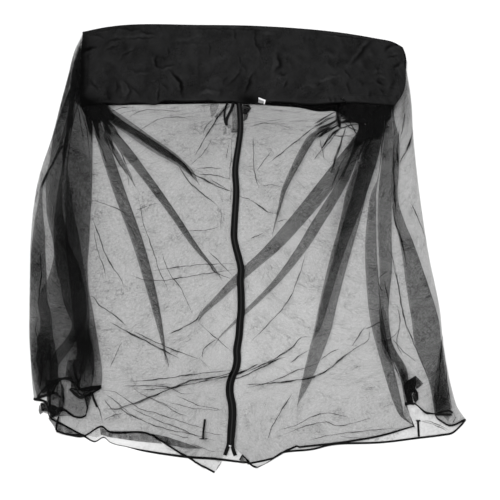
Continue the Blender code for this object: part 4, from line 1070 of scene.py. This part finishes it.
def joined(parts):
    """Points, faces and any further arrays of several pieces, as one of each."""
    starts = np.cumsum([0] + [len(part[0]) for part in parts[:-1]])
    points, faces, *others = zip(*parts)
    moved = [face + start for face, start in zip(faces, starts)]
    return [np.concatenate(arrays) for arrays in (points, moved, *others)]


def merged(made, distance):
    """Joins points that lie on each other, as at a tube's ends, and turns the faces outwards."""
    mesh = bmesh.new()
    mesh.from_mesh(made.data)
    bmesh.ops.remove_doubles(mesh, verts=mesh.verts, dist=distance)
    bmesh.ops.recalc_face_normals(mesh, faces=mesh.faces)
    mesh.to_mesh(made.data)
    mesh.free()
    return made


# ---------------------------------------------------------------- materials
class Nodes:
    """A material's nodes, made and joined in few words."""

    def __init__(self, name):
        """A new material with its usual shader."""
        self.material = bpy.data.materials.new(name)
        self.material.use_nodes = True
        self.tree = self.material.node_tree
        self.shader = self.tree.nodes["Principled BSDF"]

    def add(self, kind, sets=None, **inputs):
        """One node: sets are its own properties, inputs its sockets by name or number."""
        node = self.tree.nodes.new("ShaderNode" + kind)
        for key, value in (sets or {}).items():
            setattr(node, key, value)
        for key, value in inputs.items():
            self.put(node, int(key[1:]) if key[1:].isdigit() else key.replace("_", " "), value)
        return node

    def put(self, node, socket, value):
        """A value, or another node's first or named output, into a socket."""
        end = node.inputs[socket]
        if isinstance(value, bpy.types.NodeSocket):
            self.tree.links.new(value, end)
        elif isinstance(value, bpy.types.Node):
            self.tree.links.new(value.outputs[0], end)
        else:
            end.default_value = value

    def math(self, operation, a, b=0.0, c=0.0):
        """One sum of up to three values."""
        return self.add("Math", {"operation": operation}, i0=a, i1=b, i2=c)

    def clamped(self, a, b, c):
        """a times b plus c, kept between 0 and 1."""
        return self.add("Math", {"operation": "MULTIPLY_ADD", "use_clamp": True}, i0=a, i1=b, i2=c)

    def mix(self, share, a, b):
        """The colour that is a at share 0 and b at share 1."""
        return self.add("Mix", {"data_type": "RGBA"}, i0=share, i6=a, i7=b).outputs[2]

    def cloth(self):
        """The flat cloth sizes that each sheet keeps as its UV, in metres."""
        return self.add("UVMap", {"uv_map": "cloth"})

    def threads(self, uv, wave, pitch):
        """Two waves, one for the threads of each heading."""
        parts = self.add("SeparateXYZ", Vector=uv)
        return [self.math(wave, self.math("MULTIPLY", parts.outputs[axis], 2 * np.pi / pitch))
                for axis in "XY"]

    def hairlines(self, uv, stretch, distortion, steep):
        """Thin lines where a stretched noise passes its middle value."""
        noise = self.add("TexNoise", Vector=self.add("Mapping", i0=uv, i3=stretch), Scale=1.0,
                         Detail=3.0, Roughness=0.55, Distortion=distortion)
        off = self.math("ABSOLUTE", self.math("SUBTRACT", noise, 0.5))
        return self.clamped(off, -steep, 1.0)

    def fading(self, uv, scale):
        """A slow noise that fades lines in and out along their way."""
        return self.clamped(self.add("TexNoise", Vector=uv, Scale=scale, Detail=1.0), 4.0, -1.7)

    def finish(self, **inputs):
        """Sets the shader's inputs and gives the material."""
        for key, value in inputs.items():
            self.put(self.shader, key.replace("_", " "), value)
        return self.material


def grey(value):
    """A neutral colour, very slightly blue."""
    return (value, value, value * 1.02, 1)


NET_COVER = 0.205  # share of the light that one layer of net stops, where it lies flat
NET_PITCH = 0.0021  # between two threads
NET_STRETCHES = ((9.0, 34.0, 1.0), (40.0, 12.0, 1.0), (17.0, 21.0, 1.0))  # of its hairlines
ROOF_PITCH = 0.0011
# Painted crease lines of the roof cloth: how each kind of noise line is stretched, and how much
# painted highlight (above 0) or painted shade (below 0) it gives.
ROOF_PAINTED_CREASE_LINES = (((22.0, 60.0, 1.0), -0.55), ((58.0, 27.0, 1.0), 0.45),
                  ((34.0, 44.0, 1.0), -0.45))  # and how light each kind is
BLACKEST, GREYEST = 0.0, 0.033  # of the roof cloth


def net_material():
    """Fine net: threads both ways along the cloth, mottled, with faint creases both ways.

    Where the net is crushed it is streaked down its length.
    """
    n = Nodes("net")
    uv = n.cloth()
    weave = n.math("MULTIPLY_ADD", n.math("ADD", *n.threads(uv, "COSINE", NET_PITCH)), 0.3, 1.0)
    grain = n.add("TexNoise", Vector=uv, Scale=95.0, Detail=2.0, Roughness=0.7)
    cover = n.math("MULTIPLY", weave, n.math("MULTIPLY_ADD", grain, 1.5, 0.25))
    share = n.fading(uv, 11.0)
    for stretch in NET_STRETCHES:
        line = n.hairlines(uv, stretch, 0.4, 60.0)
        cover = n.math("MULTIPLY_ADD", n.math("MULTIPLY", line, share), 0.85, cover)
    dense = n.add("Attribute", {"attribute_name": "dense"}).outputs["Fac"]
    streak = n.add("TexNoise", Vector=n.add("Mapping", i0=uv, i3=(120.0, 6.0, 1.0)), Scale=1.0,
                   Detail=2.0)
    crushed = n.clamped(dense, 2.5, -2.9)
    streak = n.math("MULTIPLY", n.math("SUBTRACT", streak, 0.5), crushed)
    cover = n.math("MULTIPLY", cover, n.math("MULTIPLY_ADD", streak, 1.5, 1.0))
    alpha = n.clamped(n.math("MULTIPLY", cover, dense), NET_COVER, 0.0)
    return n.finish(Base_Color=grey(0.003), Roughness=0.85, Specular_IOR_Level=0.05, Alpha=alpha)


def cloth_material(name, colour, pitch, height, specular):
    """Woven tape: crossed ribs along its own UV, with a slow change of tone."""
    n = Nodes(name)
    weave = n.math("MULTIPLY", *n.threads(n.cloth(), "SINE", pitch))
    bump = n.add("Bump", Height=weave, Distance=height, Strength=1.0)
    slow = n.add("TexNoise", Vector=n.add("TexCoord").outputs["Object"], Scale=9.0, Detail=5.0)
    tone = n.mix(slow, grey(colour * 0.7), grey(colour * 1.3))
    return n.finish(Base_Color=tone, Roughness=0.8, Specular_IOR_Level=specular,
                    Normal=bump)


def roof_material():
    """Dull black polyester: close plain weave, fine crinkles and a random mottle.

    Over it, painted light: crease lines and the tone attribute painted lighter as highlight and
    darker as shade.
    """
    n = Nodes("roof_cloth")
    uv = n.cloth()
    weave = n.math("MULTIPLY", n.math("MULTIPLY", *n.threads(uv, "SINE", ROOF_PITCH)), 0.05)
    folds = n.add("TexNoise", {"noise_type": "RIDGED_MULTIFRACTAL"}, Vector=uv, Scale=22.0,
                  Detail=3.0, Roughness=0.6, Distortion=0.5)
    height = n.math("MULTIPLY_ADD", folds, 0.5, weave)
    bump = n.add("Bump", Height=height, Distance=0.0016, Strength=0.5)
    slow = n.add("TexNoise", Vector=uv, Scale=11.0, Detail=2.0, Roughness=0.5, Distortion=0.8)
    fine = n.add("TexNoise", Vector=uv, Scale=46.0, Detail=3.0, Roughness=0.6, Distortion=0.6)
    mottle = n.math("MULTIPLY_ADD", fine, 0.7, n.math("MULTIPLY_ADD", slow, 1.5, -0.1))
    share = n.fading(uv, 15.0)
    # Crease lines painted into the colour: dark ones as painted shade in furrows, light ones as
    # painted highlight on ridges, over the random mottle.
    for stretch, strength in ROOF_PAINTED_CREASE_LINES:
        line = n.hairlines(uv, stretch, 0.7, 38.0)
        mottle = n.math("MULTIPLY_ADD", n.math("MULTIPLY", line, share), strength, mottle)
    # The tone attribute is painted light: the painted shade places and the crinkles' painted
    # highlight and shade.
    tone = n.add("Attribute", {"attribute_name": "tone"}).outputs["Fac"]
    level = n.math("MULTIPLY", n.math("MULTIPLY", tone, mottle), 0.4)
    colour = n.mix(level, grey(BLACKEST), grey(GREYEST))
    return n.finish(Base_Color=colour, Roughness=0.6, Specular_IOR_Level=0.03, Normal=bump)


def plain_material(name, colour, roughness, metallic=0.0, specular=0.5):
    """Moulded or painted pieces: fine grain in roughness and a soft change of tone."""
    n = Nodes(name)
    place = n.add("TexCoord").outputs["Object"]
    grain = n.add("TexNoise", Vector=place, Scale=900.0, Detail=2.0)
    rough = n.math("MULTIPLY_ADD", grain, 0.2, roughness - 0.1)
    tone = n.mix(n.add("TexNoise", Vector=place, Scale=60.0), grey(colour * 0.8),
                 grey(colour * 1.2))
    return n.finish(Base_Color=tone, Roughness=rough, Metallic=metallic,
                    Specular_IOR_Level=specular)


def label_material():
    """White woven label: bright along its upper and right edges, its own face in shade."""
    n = Nodes("label")
    parts = n.add("SeparateXYZ", Vector=n.cloth())
    shades = [n.clamped(parts.outputs[axis], slope, start)
              for axis, slope, start in (("X", -260.0, 7.4), ("Y", 260.0, -1.7))]
    tone = n.mix(n.math("MULTIPLY", *shades), grey(0.72), grey(0.2))
    return n.finish(Base_Color=tone, Roughness=0.8, Specular_IOR_Level=0.2)


NET = net_material()
ROOF_CLOTH = roof_material()
WEBBING = cloth_material("webbing", colour=0.005, pitch=0.0016, height=0.0003, specular=0.12)
ZIP_CLOTH = cloth_material("zip_tape", colour=0.004, pitch=0.0014, height=0.0002, specular=0.1)
COIL = plain_material("zip_coil", colour=0.010, roughness=0.6, specular=0.2)
ENAMEL = plain_material("black_enamel", colour=0.004, roughness=0.4, specular=0.35)
METAL = plain_material("metal", colour=0.75, roughness=0.3, metallic=1.0)
DARK_METAL = plain_material("dark_metal", colour=0.06, roughness=0.35, metallic=1.0)
LABEL_CLOTH = label_material()


def piece(made, material, node):
    """Gives a piece its material, rides it on the part and hides the node of model.glb that it
    stands for.
    """
    made.data.materials.append(material)
    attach(made, "root")
    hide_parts(node)
    return made


# ---------------------------------------------------------------- the net wall and its binding
TAPE_HALF = 0.0006  # from the net to the binding's upper side
TAPE_ROUND = 0.0005  # of its turned edge
SEAM_IN = 0.0004  # how far inside the hem line it is sewn


def beyond(lines, distance):
    """The lines with one more row, a distance past the hem."""
    longer = []
    for line in lines:
        p = line.points
        step = p[-1] - p[-3]
        step = step / np.linalg.norm(step)
        last = p[-1] + step * distance * line.tape
        longer.append(line._replace(points=np.concatenate([p, last[None]])))
    return longer


def bells(points, places):
    """One, and more inside each place: a bell over the distance in the place's own ellipse."""
    x = points[..., 0] / UNIT + PLAN_MIDDLE[0]
    y = PLAN_MIDDLE[1] - points[..., 1] / UNIT
    total = np.ones(x.shape)
    for c in places:
        a = np.radians(c.turn)
        dx, dy = x - c.x, y - c.y
        p, q = dx * np.cos(a) + dy * np.sin(a), dy * np.cos(a) - dx * np.sin(a)
        total += c.more * np.exp(-((p / c.reach_x) ** 2 + (q / c.reach_y) ** 2))
    return total


def net_wall(pile):
    """The net and its hem binding, laid back first, then the left branch, then the right one."""
    left = expanded(FRONT_LEFT, -1, "before") + expanded(LEFT_GATHER, -1, "before")
    back = expanded(BACK, 1, "after")
    lines = left + back + expanded(FRONT_RIGHT, -1, "after")
    lines = beyond(lines, BINDING_WIDTH)
    back_start, back_end = len(left), len(left) + len(back)
    spans = panels(lines)
    order = [s for s in spans if s[1] >= back_start and s[0] < back_end]
    order += [s for s in spans if s[1] < back_start][::-1]
    order += [s for s in spans if s[0] >= back_end]
    laid = lay_strip(pile, lines, order, COLUMN_STEP)
    grid = join_panels(laid, spans)
    net = grid[:, :-1]
    dense = bells(net, CRUSHES) * tightness(laid, spans, lines)
    made = cloth_object("net_cloth", net, {"dense": dense})
    piece(made, NET, "net_wall")
    tape = tape_over_edge("hem_tape", grid[:, -2], grid[:, -1])
    piece(tape, WEBBING, "hem_binding")
    return made, tape


def tightness(laid, spans, lines):
    """How much denser each point is: the middle panel of a pleat is pulled tight.

    A panel's columns are counted with the turn behind it, as join_panels puts them together.
    """
    found = []
    for number, span in enumerate(spans):
        value = 1 + np.zeros(NET_ROWS) + lines[span[0]].tight
        count = len(laid[span])
        if number > 0:
            count -= 1
        if number < len(spans) - 1:
            count += len(FOLD_TURNS) - 1
        found += [value] * count
    return np.array(found)


def tape_over_edge(name, hem, end):
    """A tape folded over an edge: from the seam along the top, round the end, back beneath."""
    out = end - hem
    out /= np.maximum(np.linalg.norm(out, axis=-1, keepdims=True), 1e-9)
    lift = np.array([0, 0, TAPE_HALF])
    seam = hem - out * SEAM_IN
    turn = end - out * TAPE_ROUND
    rows = [seam + lift, hem + (end - hem) * 0.5 + lift * 1.2, turn + lift * 0.8, end,
            turn - lift * 0.5, seam - lift * 0.4]
    return cloth_object(name, np.stack(rows, 1))


# ---------------------------------------------------------------- creases, doubled places
CREASE_STEP = 0.009  # between two rings of a crease
CREASE_AROUND = 6  # points of a ring
CREASE_WAVER = 0.0013  # of its line
CREASE_RISE = 0.0003  # half its height
CREASE_WIDTH = ((1, 2, 4), (0.6, 0.66, 0.85))  # by the table's width, the share of it that is built
CREASE_RIM = ((1.6, 3.2), (1.0, 0.15))  # by the table's width, how dense the rim is
RIM_POINTS = 6  # on each side of a doubled place's outline
RINGS = np.array([0.02, 0.35, 0.7, 0.92, 1.0, 0.92, 0.7, 0.35, 0.02])  # its lower side first
UPPER = np.array([0, 0, 0, 0, 0.5, 1, 1, 1, 1])  # how far each ring is on the upper side
RING_SWELL = 0.0011
RING_WAVE = 0.0008
BUNCHED = 4.2  # denser places are bunched, with a soft rim, and carry what lies on them
TOO_DENSE = 5.1  # denser ones carry nothing
CLOSE_UP = 2e-4  # points nearer than this become one
TURN_STEP = 0.006


def pinched(pile, number, crease):
    """A crease: a flat closed tube of net along a line, widest in the middle, a point at each end.

    Its half width is the root of 4t(1 - t) times the given one, with a slow wave on it. The line
    wavers a little too, as a pinched fold does.
    """
    width, *points = crease
    line = finer(points, CREASE_STEP)
    t = np.linspace(0, 1, len(line))
    side = sideways(line)
    far = np.linalg.norm(line[-1] - line[0])
    waver = np.sin(far * 60 * t + number) + 0.7 * np.sin(far * 130 * t + 2.9 * number)
    line = line + side * (CREASE_WAVER * waver * np.sin(np.pi * t))[:, None]
    half = width * np.interp(width, *CREASE_WIDTH) * UNIT / 2
    half = half * np.sqrt(np.maximum(4 * t * (1 - t), 0.002))
    half *= 1 + 0.3 * np.sin(far * 45 * t + 2.1 * number)
    turn = np.linspace(0, 2 * np.pi, CREASE_AROUND, endpoint=False)
    across, up = np.cos(turn), np.sin(turn)
    plan = line[:, None] + side[:, None] * (half[:, None] * across)[..., None]
    z = pile.rest(plan[:, [0, CREASE_AROUND // 2]]).mean(axis=1)
    rings = raised(plan, z[:, None] + CREASE_RISE * (1 + up))
    points = rings.reshape(-1, 3)
    dense = (1.2 + 0.65 * width) * np.clip(0.3 + 5 * t * (1 - t), 0, 1)
    dense *= 1 + 0.35 * np.sin(far * 75 * t + 4.3 * number)
    dense = dense[:, None] * np.where(np.abs(across) > 0.9, np.interp(width, *CREASE_RIM), 1.0)
    return points, closed_tube(rings), points[:, :2], dense.ravel()


def doubled(pile, patch):
    """A place where the net is doubled over: two layers between an outline and its middle.

    Both layers go from the outline to the middle in rings. The upper one swells by the root of
    one less the square of the ring's reach, so it is closed all round.
    """
    dense, *outline = patch
    corner = metres(outline)
    ends = np.roll(corner, -1, 0)
    steps = np.linspace(0, 1, RIM_POINTS, endpoint=False)[None, :, None]
    edge = (corner[:, None] * (1 - steps) + ends[:, None] * steps).reshape(-1, 2)
    middle = corner.mean(axis=0)
    plan = middle + (edge - middle)[None] * RINGS[:, None, None]
    base = eased(pile.rest(np.concatenate([plan, plan[:, :1]], 1), (2, 2))[:, :-1])
    upper = UPPER[:, None]
    swell = RING_SWELL * upper * np.sqrt(np.maximum(1.05 - RINGS ** 2, 0))[:, None]
    waves = RING_WAVE * upper * (1 + np.sin(plan[..., 0] * 90) * np.sin(plan[..., 1] * 70))
    rings = raised(plan, base + swell + waves * (1 - RINGS[:, None]))
    points = rings.reshape(-1, 3)
    if BUNCHED < dense < TOO_DENSE:
        pile.lay(rings[4:])
    at_rim = 0.0 if dense > BUNCHED else 1.0
    share = np.interp(RINGS, [0.7, 1.0], [1.0, at_rim])[:, None] * np.ones(len(edge))
    return points, closed_tube(rings), points[:, :2] * 0.4, dense * share.ravel()


def creases_and_patches(pile):
    """All creases and doubled places of the net, as one piece of net each."""
    made = []
    for name, parts in (("net_creases", [pinched(pile, i, c) for i, c in enumerate(CREASES)]),
                        ("net_doubled", [doubled(pile, p) for p in PATCHES])):
        points, faces, uv, dense = joined(parts)
        net = mesh_object(name, points, faces, uv, {"dense": dense})
        made.append(piece(merged(net, CLOSE_UP), NET, "net_wall"))
    return made


def hem_turns(pile):
    """Lengths of hem tape that lie turned up on the net at its corners."""
    parts = []
    for width, *points in HEM_TURNS:
        line = finer(points, TURN_STEP)
        parts.append(grid_parts(ribbon_grid(pile, line, np.full(len(line), width), lay=False)))
    return piece(mesh_object("hem_turns", *joined(parts)), WEBBING, "hem_binding")


# ---------------------------------------------------------------- the roof
MARK_STEP = 0.006  # between two points of a crinkle
MARK_REACH = 0.03  # beyond its line, past which it isn't felt
MARK_WAVER = 0.0014
MARK_HEIGHT = 0.0011  # of a crinkle of strength 1
ROOF_LIFT = 0.0008  # the front half's, off what it lies on
FACET_HEIGHT = 0.0004
FACET_WAVES = 6
SEAM_WIDTH = 0.006
SEAM_RISE = 0.0011
# Painted shade: the tone that the roof's hidden back half is painted, then the least that painted
# shade leaves of the roof's tone.
BACK_PAINTED_SHADE = 0.12  # of the hidden half
DEEPEST_PAINTED_SHADE = 0.03
# The least that painted shade leaves of the roof seam's tone.
DEEPEST_SEAM_SHADE = 0.02


def roof_lines():
    """The roof's lines as Courses, with as many points each as the roof has rows."""
    shares = np.linspace(0, 1, ROOF_ROWS)
    return [Course(line.kind == "fold", metres(along(line.points, shares, 0))) for line in ROOF]


def crinkled(points):
    """How much painted highlight or painted shade each point of the roof cloth takes, the sum over
    its crinkles; the same sum also sets their relief.

    A crinkle is strongest on its line and falls off as a bell of the distance, one over one plus
    the square of distance by reach, squared. Its other flank is painted lit or painted shaded the
    other way. It fades out towards its ends, and all lines waver as the points are first moved by
    slow waves.
    """
    x, y = points[..., 0], points[..., 1]
    waves = np.stack([np.sin(90 * y + 40 * x) + np.sin(210 * y - 60 * x),
                      np.sin(100 * x - 30 * y) + np.sin(190 * x + 90 * y)], -1)
    moved = points + MARK_WAVER * waves
    total = np.zeros(points.shape[:-1])
    for strength, reach, *way in CRINKLES:
        line = finer(way, MARK_STEP)
        inside = ((moved > line.min(axis=0) - MARK_REACH)
                  & (moved < line.max(axis=0) + MARK_REACH)).all(-1)
        near = moved[inside]
        a, b = line[:-1], line[1:]
        step = b - a
        t = np.einsum("pkj,kj->pk", near[:, None] - a[None], step) / (step ** 2).sum(-1)
        t = np.clip(t, 0, 1)
        off = near[:, None] - (a + t[..., None] * step)
        far = np.linalg.norm(off, axis=-1)
        best = far.argmin(axis=1)
        rows = np.arange(len(near))
        place = (best + t[rows, best]) / len(a)
        fade = np.clip(3.4 * place * (1 - place) + 0.12, 0, 1)
        off, step = off[rows, best], step[best]
        signed = np.sign(step[:, 0] * off[:, 1] - step[:, 1] * off[:, 0]) * far[rows, best]
        share = signed / (0.8 * reach * UNIT)
        bell = 1 / (1 + share ** 2) ** 2
        total[inside] += strength * fade * (0.62 * bell + 0.75 * share * np.exp(-0.6 * share ** 2))
    return total


def crumple(points):
    """Shallow facets, in metres: folded sines of warped lines in six headings."""
    x, y = points[..., 0], points[..., 1]
    total = np.zeros(x.shape)
    for i in range(FACET_WAVES):
        a = 0.4 + 1.05 * i
        run = x * np.cos(a) + y * np.sin(a)
        off = y * np.cos(a) - x * np.sin(a)
        bent = run * (32 + 9 * i) + 1.6 * np.sin(off * (17 + 3 * i) + i) + 2.0 * i
        window = 0.5 + 0.5 * np.sin(off * 11 + run * 7 + 3 * i)
        total += (np.abs(np.sin(bent)) - 0.64) * window / (1 + 0.25 * i)
    return FACET_HEIGHT * total


def roof_cover(pile, spans, laid):
    """The roof: folded at its ridge, the front half crinkled as it lies.

    The crinkles' relief and the facets die away over the last four columns, at the seam. Its tone is
    painted light: the painted shade places, times painted highlight and painted shade along the
    crinkles, and the hidden back half painted dark as shade.
    """
    grid = join_panels(laid, spans)
    count = np.arange(len(grid))[:, None]
    front = count >= len(laid[spans[0]]) - 1 + len(FOLD_TURNS)
    crinkle_relief_and_painted_light = crinkled(grid[..., :2]) * front
    inside = np.clip(count[::-1] / 4, 0, 1)
    relief = (MARK_HEIGHT * crinkle_relief_and_painted_light + crumple(grid)) * front * inside
    grid[..., 2] += relief + ROOF_LIFT * front
    # Painted light: the painted shade places times a painted highlight on each crinkle's ridge and
    # lit flank and a painted shade in its furrow and shaded flank; the hidden back half takes a flat
    # painted shade.
    tone = bells(grid, ROOF_PAINTED_SHADES) * np.clip(1 + 0.8 * crinkle_relief_and_painted_light, 0.08, 2.2)
    tone = np.maximum(np.where(front, tone, BACK_PAINTED_SHADE), DEEPEST_PAINTED_SHADE)
    cover = cloth_object("roof_cover", grid, {"tone": tone})
    piece(cover, ROOF_CLOTH, "roof")
    return cover, grid[-1]


def seam_ridge(name, edge):
    """The turned and sewn seam along the roof's lower edge, a rounded ridge over the edge line."""
    side = raised(sideways(edge[:, :2]), np.zeros(len(edge)))
    turn = np.linspace(-np.pi / 2, np.pi / 2, 7)
    grid = (edge[:, None] + side[:, None] * (SEAM_WIDTH / 2 * np.sin(turn))[:, None]
            + np.array([0, 0, SEAM_RISE]) * np.cos(turn)[:, None])
    # Painted shade: the roof's painted shade places at 0.3 of the roof's level, so the seam is
    # darker than the roof's face all along.
    tone = np.maximum(0.3 * bells(grid, ROOF_PAINTED_SHADES), DEEPEST_SEAM_SHADE)
    return cloth_object(name, grid, {"tone": tone})


# ---------------------------------------------------------------- zip, ties, tapes
ZIP_STEP = 0.006  # between two rows of its tapes
FREE_END = 0.9  # width of a tape below the stop, as a share
TAB_STEP = 0.004
EDGE_DROP = 0.0002  # of a strip's edges, below its middle
COIL_STEP = 0.00055
COIL_TOOTH = 0.0022
COIL_WIDTH = 0.007
COIL_ACROSS = np.array([-1.0, -0.8, -0.45, -0.12, 0.12, 0.45, 0.8, 1.0])  # shares of half of it
COIL_HEIGHT = 0.0011
RIB_HEIGHT = 0.0007
SLIDER_SIZE = (0.012, 0.017, 0.0052)
PULL_WIDTH, PULL_THICKNESS = 0.0085, 0.002
STOP_AT = (230.0, 445.6)
STOP_SIZE = (0.0105, 0.007, 0.003)
RING_RADIUS = 0.0068
RING_WIRE = 0.0015
LABEL_COLUMNS, LABEL_ROWS = 16, 14
LABEL_BOW = 0.0022


def ribbon_grid(pile, middle, widths, across=5, lay=True):
    """A strip of cloth on the pile along a middle line, with a width for each point."""
    side = sideways(middle) * (widths / 2)[:, None]
    plan = middle[None] + side[None] * np.linspace(-1, 1, across)[:, None, None]
    grid = raised(plan, pile.rest(plan))
    if lay:
        pile.lay(grid)
    return grid


def zip_pieces(pile):
    """Two tapes side by side that part below the stop."""
    made = []
    for side, end, name in ((-1, ZIP_LEFT_END, "left"), (1, ZIP_RIGHT_END, "right")):
        widths = [zip_width(y) / 2 for _, y in ZIP_MIDDLE]
        line = [(x + side * half / 2 / UNIT, y) for (x, y), half in zip(ZIP_MIDDLE, widths)]
        widths += [widths[-1] * FREE_END] * len(end)
        fine = finer(line + list(end), ZIP_STEP)
        wide = np.interp(np.linspace(0, 1, len(fine)), np.linspace(0, 1, len(widths)), widths)
        tape = cloth_object("zip_side_" + name, ribbon_grid(pile, fine, wide))
        made.append(piece(tape, ZIP_CLOTH, "zip_tape_" + name))
    return made


def coil(pile):
    """The closed coil: an arched ridge along the seam, with a rounded rib for each tooth.

    The arch is a half sine across. Along it the height is even but for a rectified sine, one rib
    to every tooth, and the two sides' ribs are half a rib apart.
    """
    line = finer(ZIP_MIDDLE, COIL_STEP)
    side = sideways(line)
    run = np.arange(len(line)) * COIL_STEP
    rib = np.abs(np.sin(np.pi * run[:, None] / COIL_TOOTH + (COIL_ACROSS > 0) * np.pi / 2))
    arch = np.cos(COIL_ACROSS * np.pi / 2) ** 0.6
    base = pile.rest(np.stack([line - side * 0.003, line + side * 0.003]))[0]
    plan = line[:, None] + side[:, None] * (COIL_WIDTH / 2 * COIL_ACROSS)[:, None]
    grid = raised(plan, base[:, None] + arch * (COIL_HEIGHT + RIB_HEIGHT * rib))
    grid[:, [0, -1], 2] = base[:, None] - EDGE_DROP
    return grid


def block(name, size, centre, turn, rounding, hollow=0.0):
    """A small moulded piece: a box with well rounded edges, waisted by hollow across its middle."""
    mesh = bmesh.new()
    bmesh.ops.create_cube(mesh, size=1)
    bmesh.ops.subdivide_edges(mesh, edges=mesh.edges[:], cuts=3, use_grid_fill=True)
    for v in mesh.verts:
        v.co.x *= 1 - hollow * (1 - 4 * v.co.y ** 2)
        v.co = (v.co.x * size[0], v.co.y * size[1], v.co.z * size[2])
    bmesh.ops.bevel(mesh, geom=[e for e in mesh.edges if e.calc_face_angle(0) > 1.2],
                    offset=rounding, segments=3, affect="EDGES")
    bmesh.ops.rotate(mesh, matrix=Matrix.Rotation(turn, 3, "Z"), verts=mesh.verts)
    bmesh.ops.translate(mesh, vec=centre, verts=mesh.verts)
    made = bpy.data.meshes.new(name)
    mesh.to_mesh(made)
    mesh.free()
    return linked(name, made)


def loop(name, centre, radius, wire):
    """A closed wire ring lying flat: a circle of wire carried round a larger circle."""
    u = np.linspace(0, 2 * np.pi, 40, endpoint=False)[:, None]
    v = np.linspace(0, 2 * np.pi, 10, endpoint=False)[None, :]
    reach = radius + wire / 2 * np.cos(v)
    rings = np.stack([reach * np.cos(u), reach * np.sin(u), wire / 2 * np.sin(v) + 0 * u], -1)
    rings = rings + centre
    rings = np.concatenate([rings, rings[:1]])
    made = mesh_object(name, rings.reshape(-1, 3), closed_tube(rings))
    return merged(made, 1e-5)


def seated(pile, at, reach, lift):
    """A middle for a hard piece, lifted off the highest layer within reach of its place."""
    return (*at, pile.height_at(at, reach) + lift)


def zip_hardware(pile):
    """The coil, the slider with its pull at the top, the stop, and the tapes' ring."""
    chain = cloth_object("coil", coil(pile))
    piece(chain, COIL, "zip_chain")
    at = seated(pile, metres(SLIDER_AT), 0.008, 0.0026)
    slider = block("slider", SLIDER_SIZE, at, 0.25, 0.0012, 0.12)
    piece(slider, ENAMEL, "zip_slider")
    start, end = metres(PULL_LINE)
    heading = end - start
    turn = np.arctan2(heading[1], heading[0]) - np.pi / 2
    size = (PULL_WIDTH, np.linalg.norm(heading), PULL_THICKNESS)
    at = seated(pile, (start + end) / 2, 0.006, 0.0014)
    pull = block("pull", size, at, turn, 0.0005, 0.25)
    piece(pull, ENAMEL, "zip_pull")
    at = seated(pile, metres(STOP_AT), 0.004, 0.0012)
    stop = block("stop", STOP_SIZE, at, 0.0, 0.0008)
    piece(stop, METAL, "zip_stop")
    at = seated(pile, metres(RING_AT), 0.007, 0.0005)
    ring = loop("tape_ring", at, RING_RADIUS, RING_WIRE)
    piece(ring, DARK_METAL, "ring")


def tab(pile, strip):
    """One tie or tape, a flat woven strip with its edges a little below its middle."""
    line = finer(strip.points, TAB_STEP)
    grid = ribbon_grid(pile, line, np.full(len(line), strip.width), 7)
    grid[[0, -1], :, 2] -= EDGE_DROP
    made = cloth_object(strip.name, grid)
    piece(made, WEBBING, strip.node)
    return made


def label(pile):
    """A folded cloth label between four corners: rows and columns mix the corners' places.

    It bows up by a sine across its height, so its upper edge catches the light.
    """
    a, b, c, d = metres(LABEL_CORNERS)
    u = np.linspace(0, 1, LABEL_COLUMNS)[:, None, None]
    v = np.linspace(0, 1, LABEL_ROWS)[None, :, None]
    plan = (a * (1 - u) + b * u) * (1 - v) + (d * (1 - u) + c * u) * v
    bow = LABEL_BOW * np.sin(np.pi * v[..., 0] ** 0.6)
    grid = raised(plan, pile.rest(plan).max() + bow + 0 * u[..., 0])
    made = cloth_object("white_label", grid)
    piece(made, LABEL_CLOTH, "label")
    return made


# ---------------------------------------------------------------- making
def make_all():
    """Every piece, from the lowest layer to the highest: each lies on what is laid before it."""
    pile = Pile()
    roof = roof_lines()
    fold = next(i for i, line in enumerate(roof) if line.fold)
    roof_spans = [(0, fold), (fold, len(roof) - 1)]
    laid = lay_strip(pile, roof, roof_spans[:1], COLUMN_STEP, 0.0)
    net, hem = net_wall(pile)
    extras = creases_and_patches(pile) + [hem_turns(pile)]
    zips = zip_pieces(pile)
    zip_hardware(pile)
    for strip in TIES + HANGING_TAPES:
        tab(pile, strip)
    laid.update(lay_strip(pile, roof, roof_spans[1:], ROOF_STEP, 0.0))
    cover, edge = roof_cover(pile, roof_spans, laid)
    seam = piece(seam_ridge("roof_seam", edge), ROOF_CLOTH, "roof")
    label(pile)


# ---------------------------------------------------------------- stage
FLOOR_HALF = 60
PICTURE_SIDE = 500  # of the plan, in units
DOME_STRENGTH = 0.9
LAMP_STRENGTH = 1.6
LAMP_SPREAD = 40  # degrees
LAMP_TILT = (-38, -32, 0)
LENS = 135


def stage():
    """A pale floor, an even dome of light, a broad soft lamp and the camera above."""
    corners = np.array([(-1, -1, 0), (1, -1, 0), (1, 1, 0), (-1, 1, 0)], float)
    floor = mesh_object("floor", FLOOR_HALF * corners, np.array([[0, 1, 2, 3]]))
    n = Nodes("floor_paint")
    floor.data.materials.append(n.finish(Base_Color=(0.92, 0.92, 0.92, 1), Roughness=0.9,
                                         Specular_IOR_Level=0.0))
    scene = bpy.context.scene
    world = bpy.data.worlds.new("studio")
    world.use_nodes = True
    background = world.node_tree.nodes["Background"]
    background.inputs["Color"].default_value = (1, 1, 1, 1)
    background.inputs["Strength"].default_value = DOME_STRENGTH
    scene.world = world
    lamp = bpy.data.lights.new("soft_lamp", "SUN")
    lamp.energy = LAMP_STRENGTH
    lamp.angle = np.radians(LAMP_SPREAD)
    key = bpy.data.objects.new("soft_lamp", lamp)
    key.rotation_euler = np.radians(LAMP_TILT)
    scene.collection.objects.link(key)
    camera = bpy.data.objects.new("camera", bpy.data.cameras.new("camera"))
    camera.data.lens = LENS
    x, y = metres((PICTURE_SIDE / 2, PICTURE_SIDE / 2))
    camera.location = (x, y, PICTURE_SIDE * UNIT * camera.data.lens / camera.data.sensor_width)
    camera.data.clip_end = 200
    scene.collection.objects.link(camera)
    scene.camera = camera
    scene.view_settings.view_transform = "Standard"
    scene.cycles.transparent_max_bounces = 64


make_all()
stage()
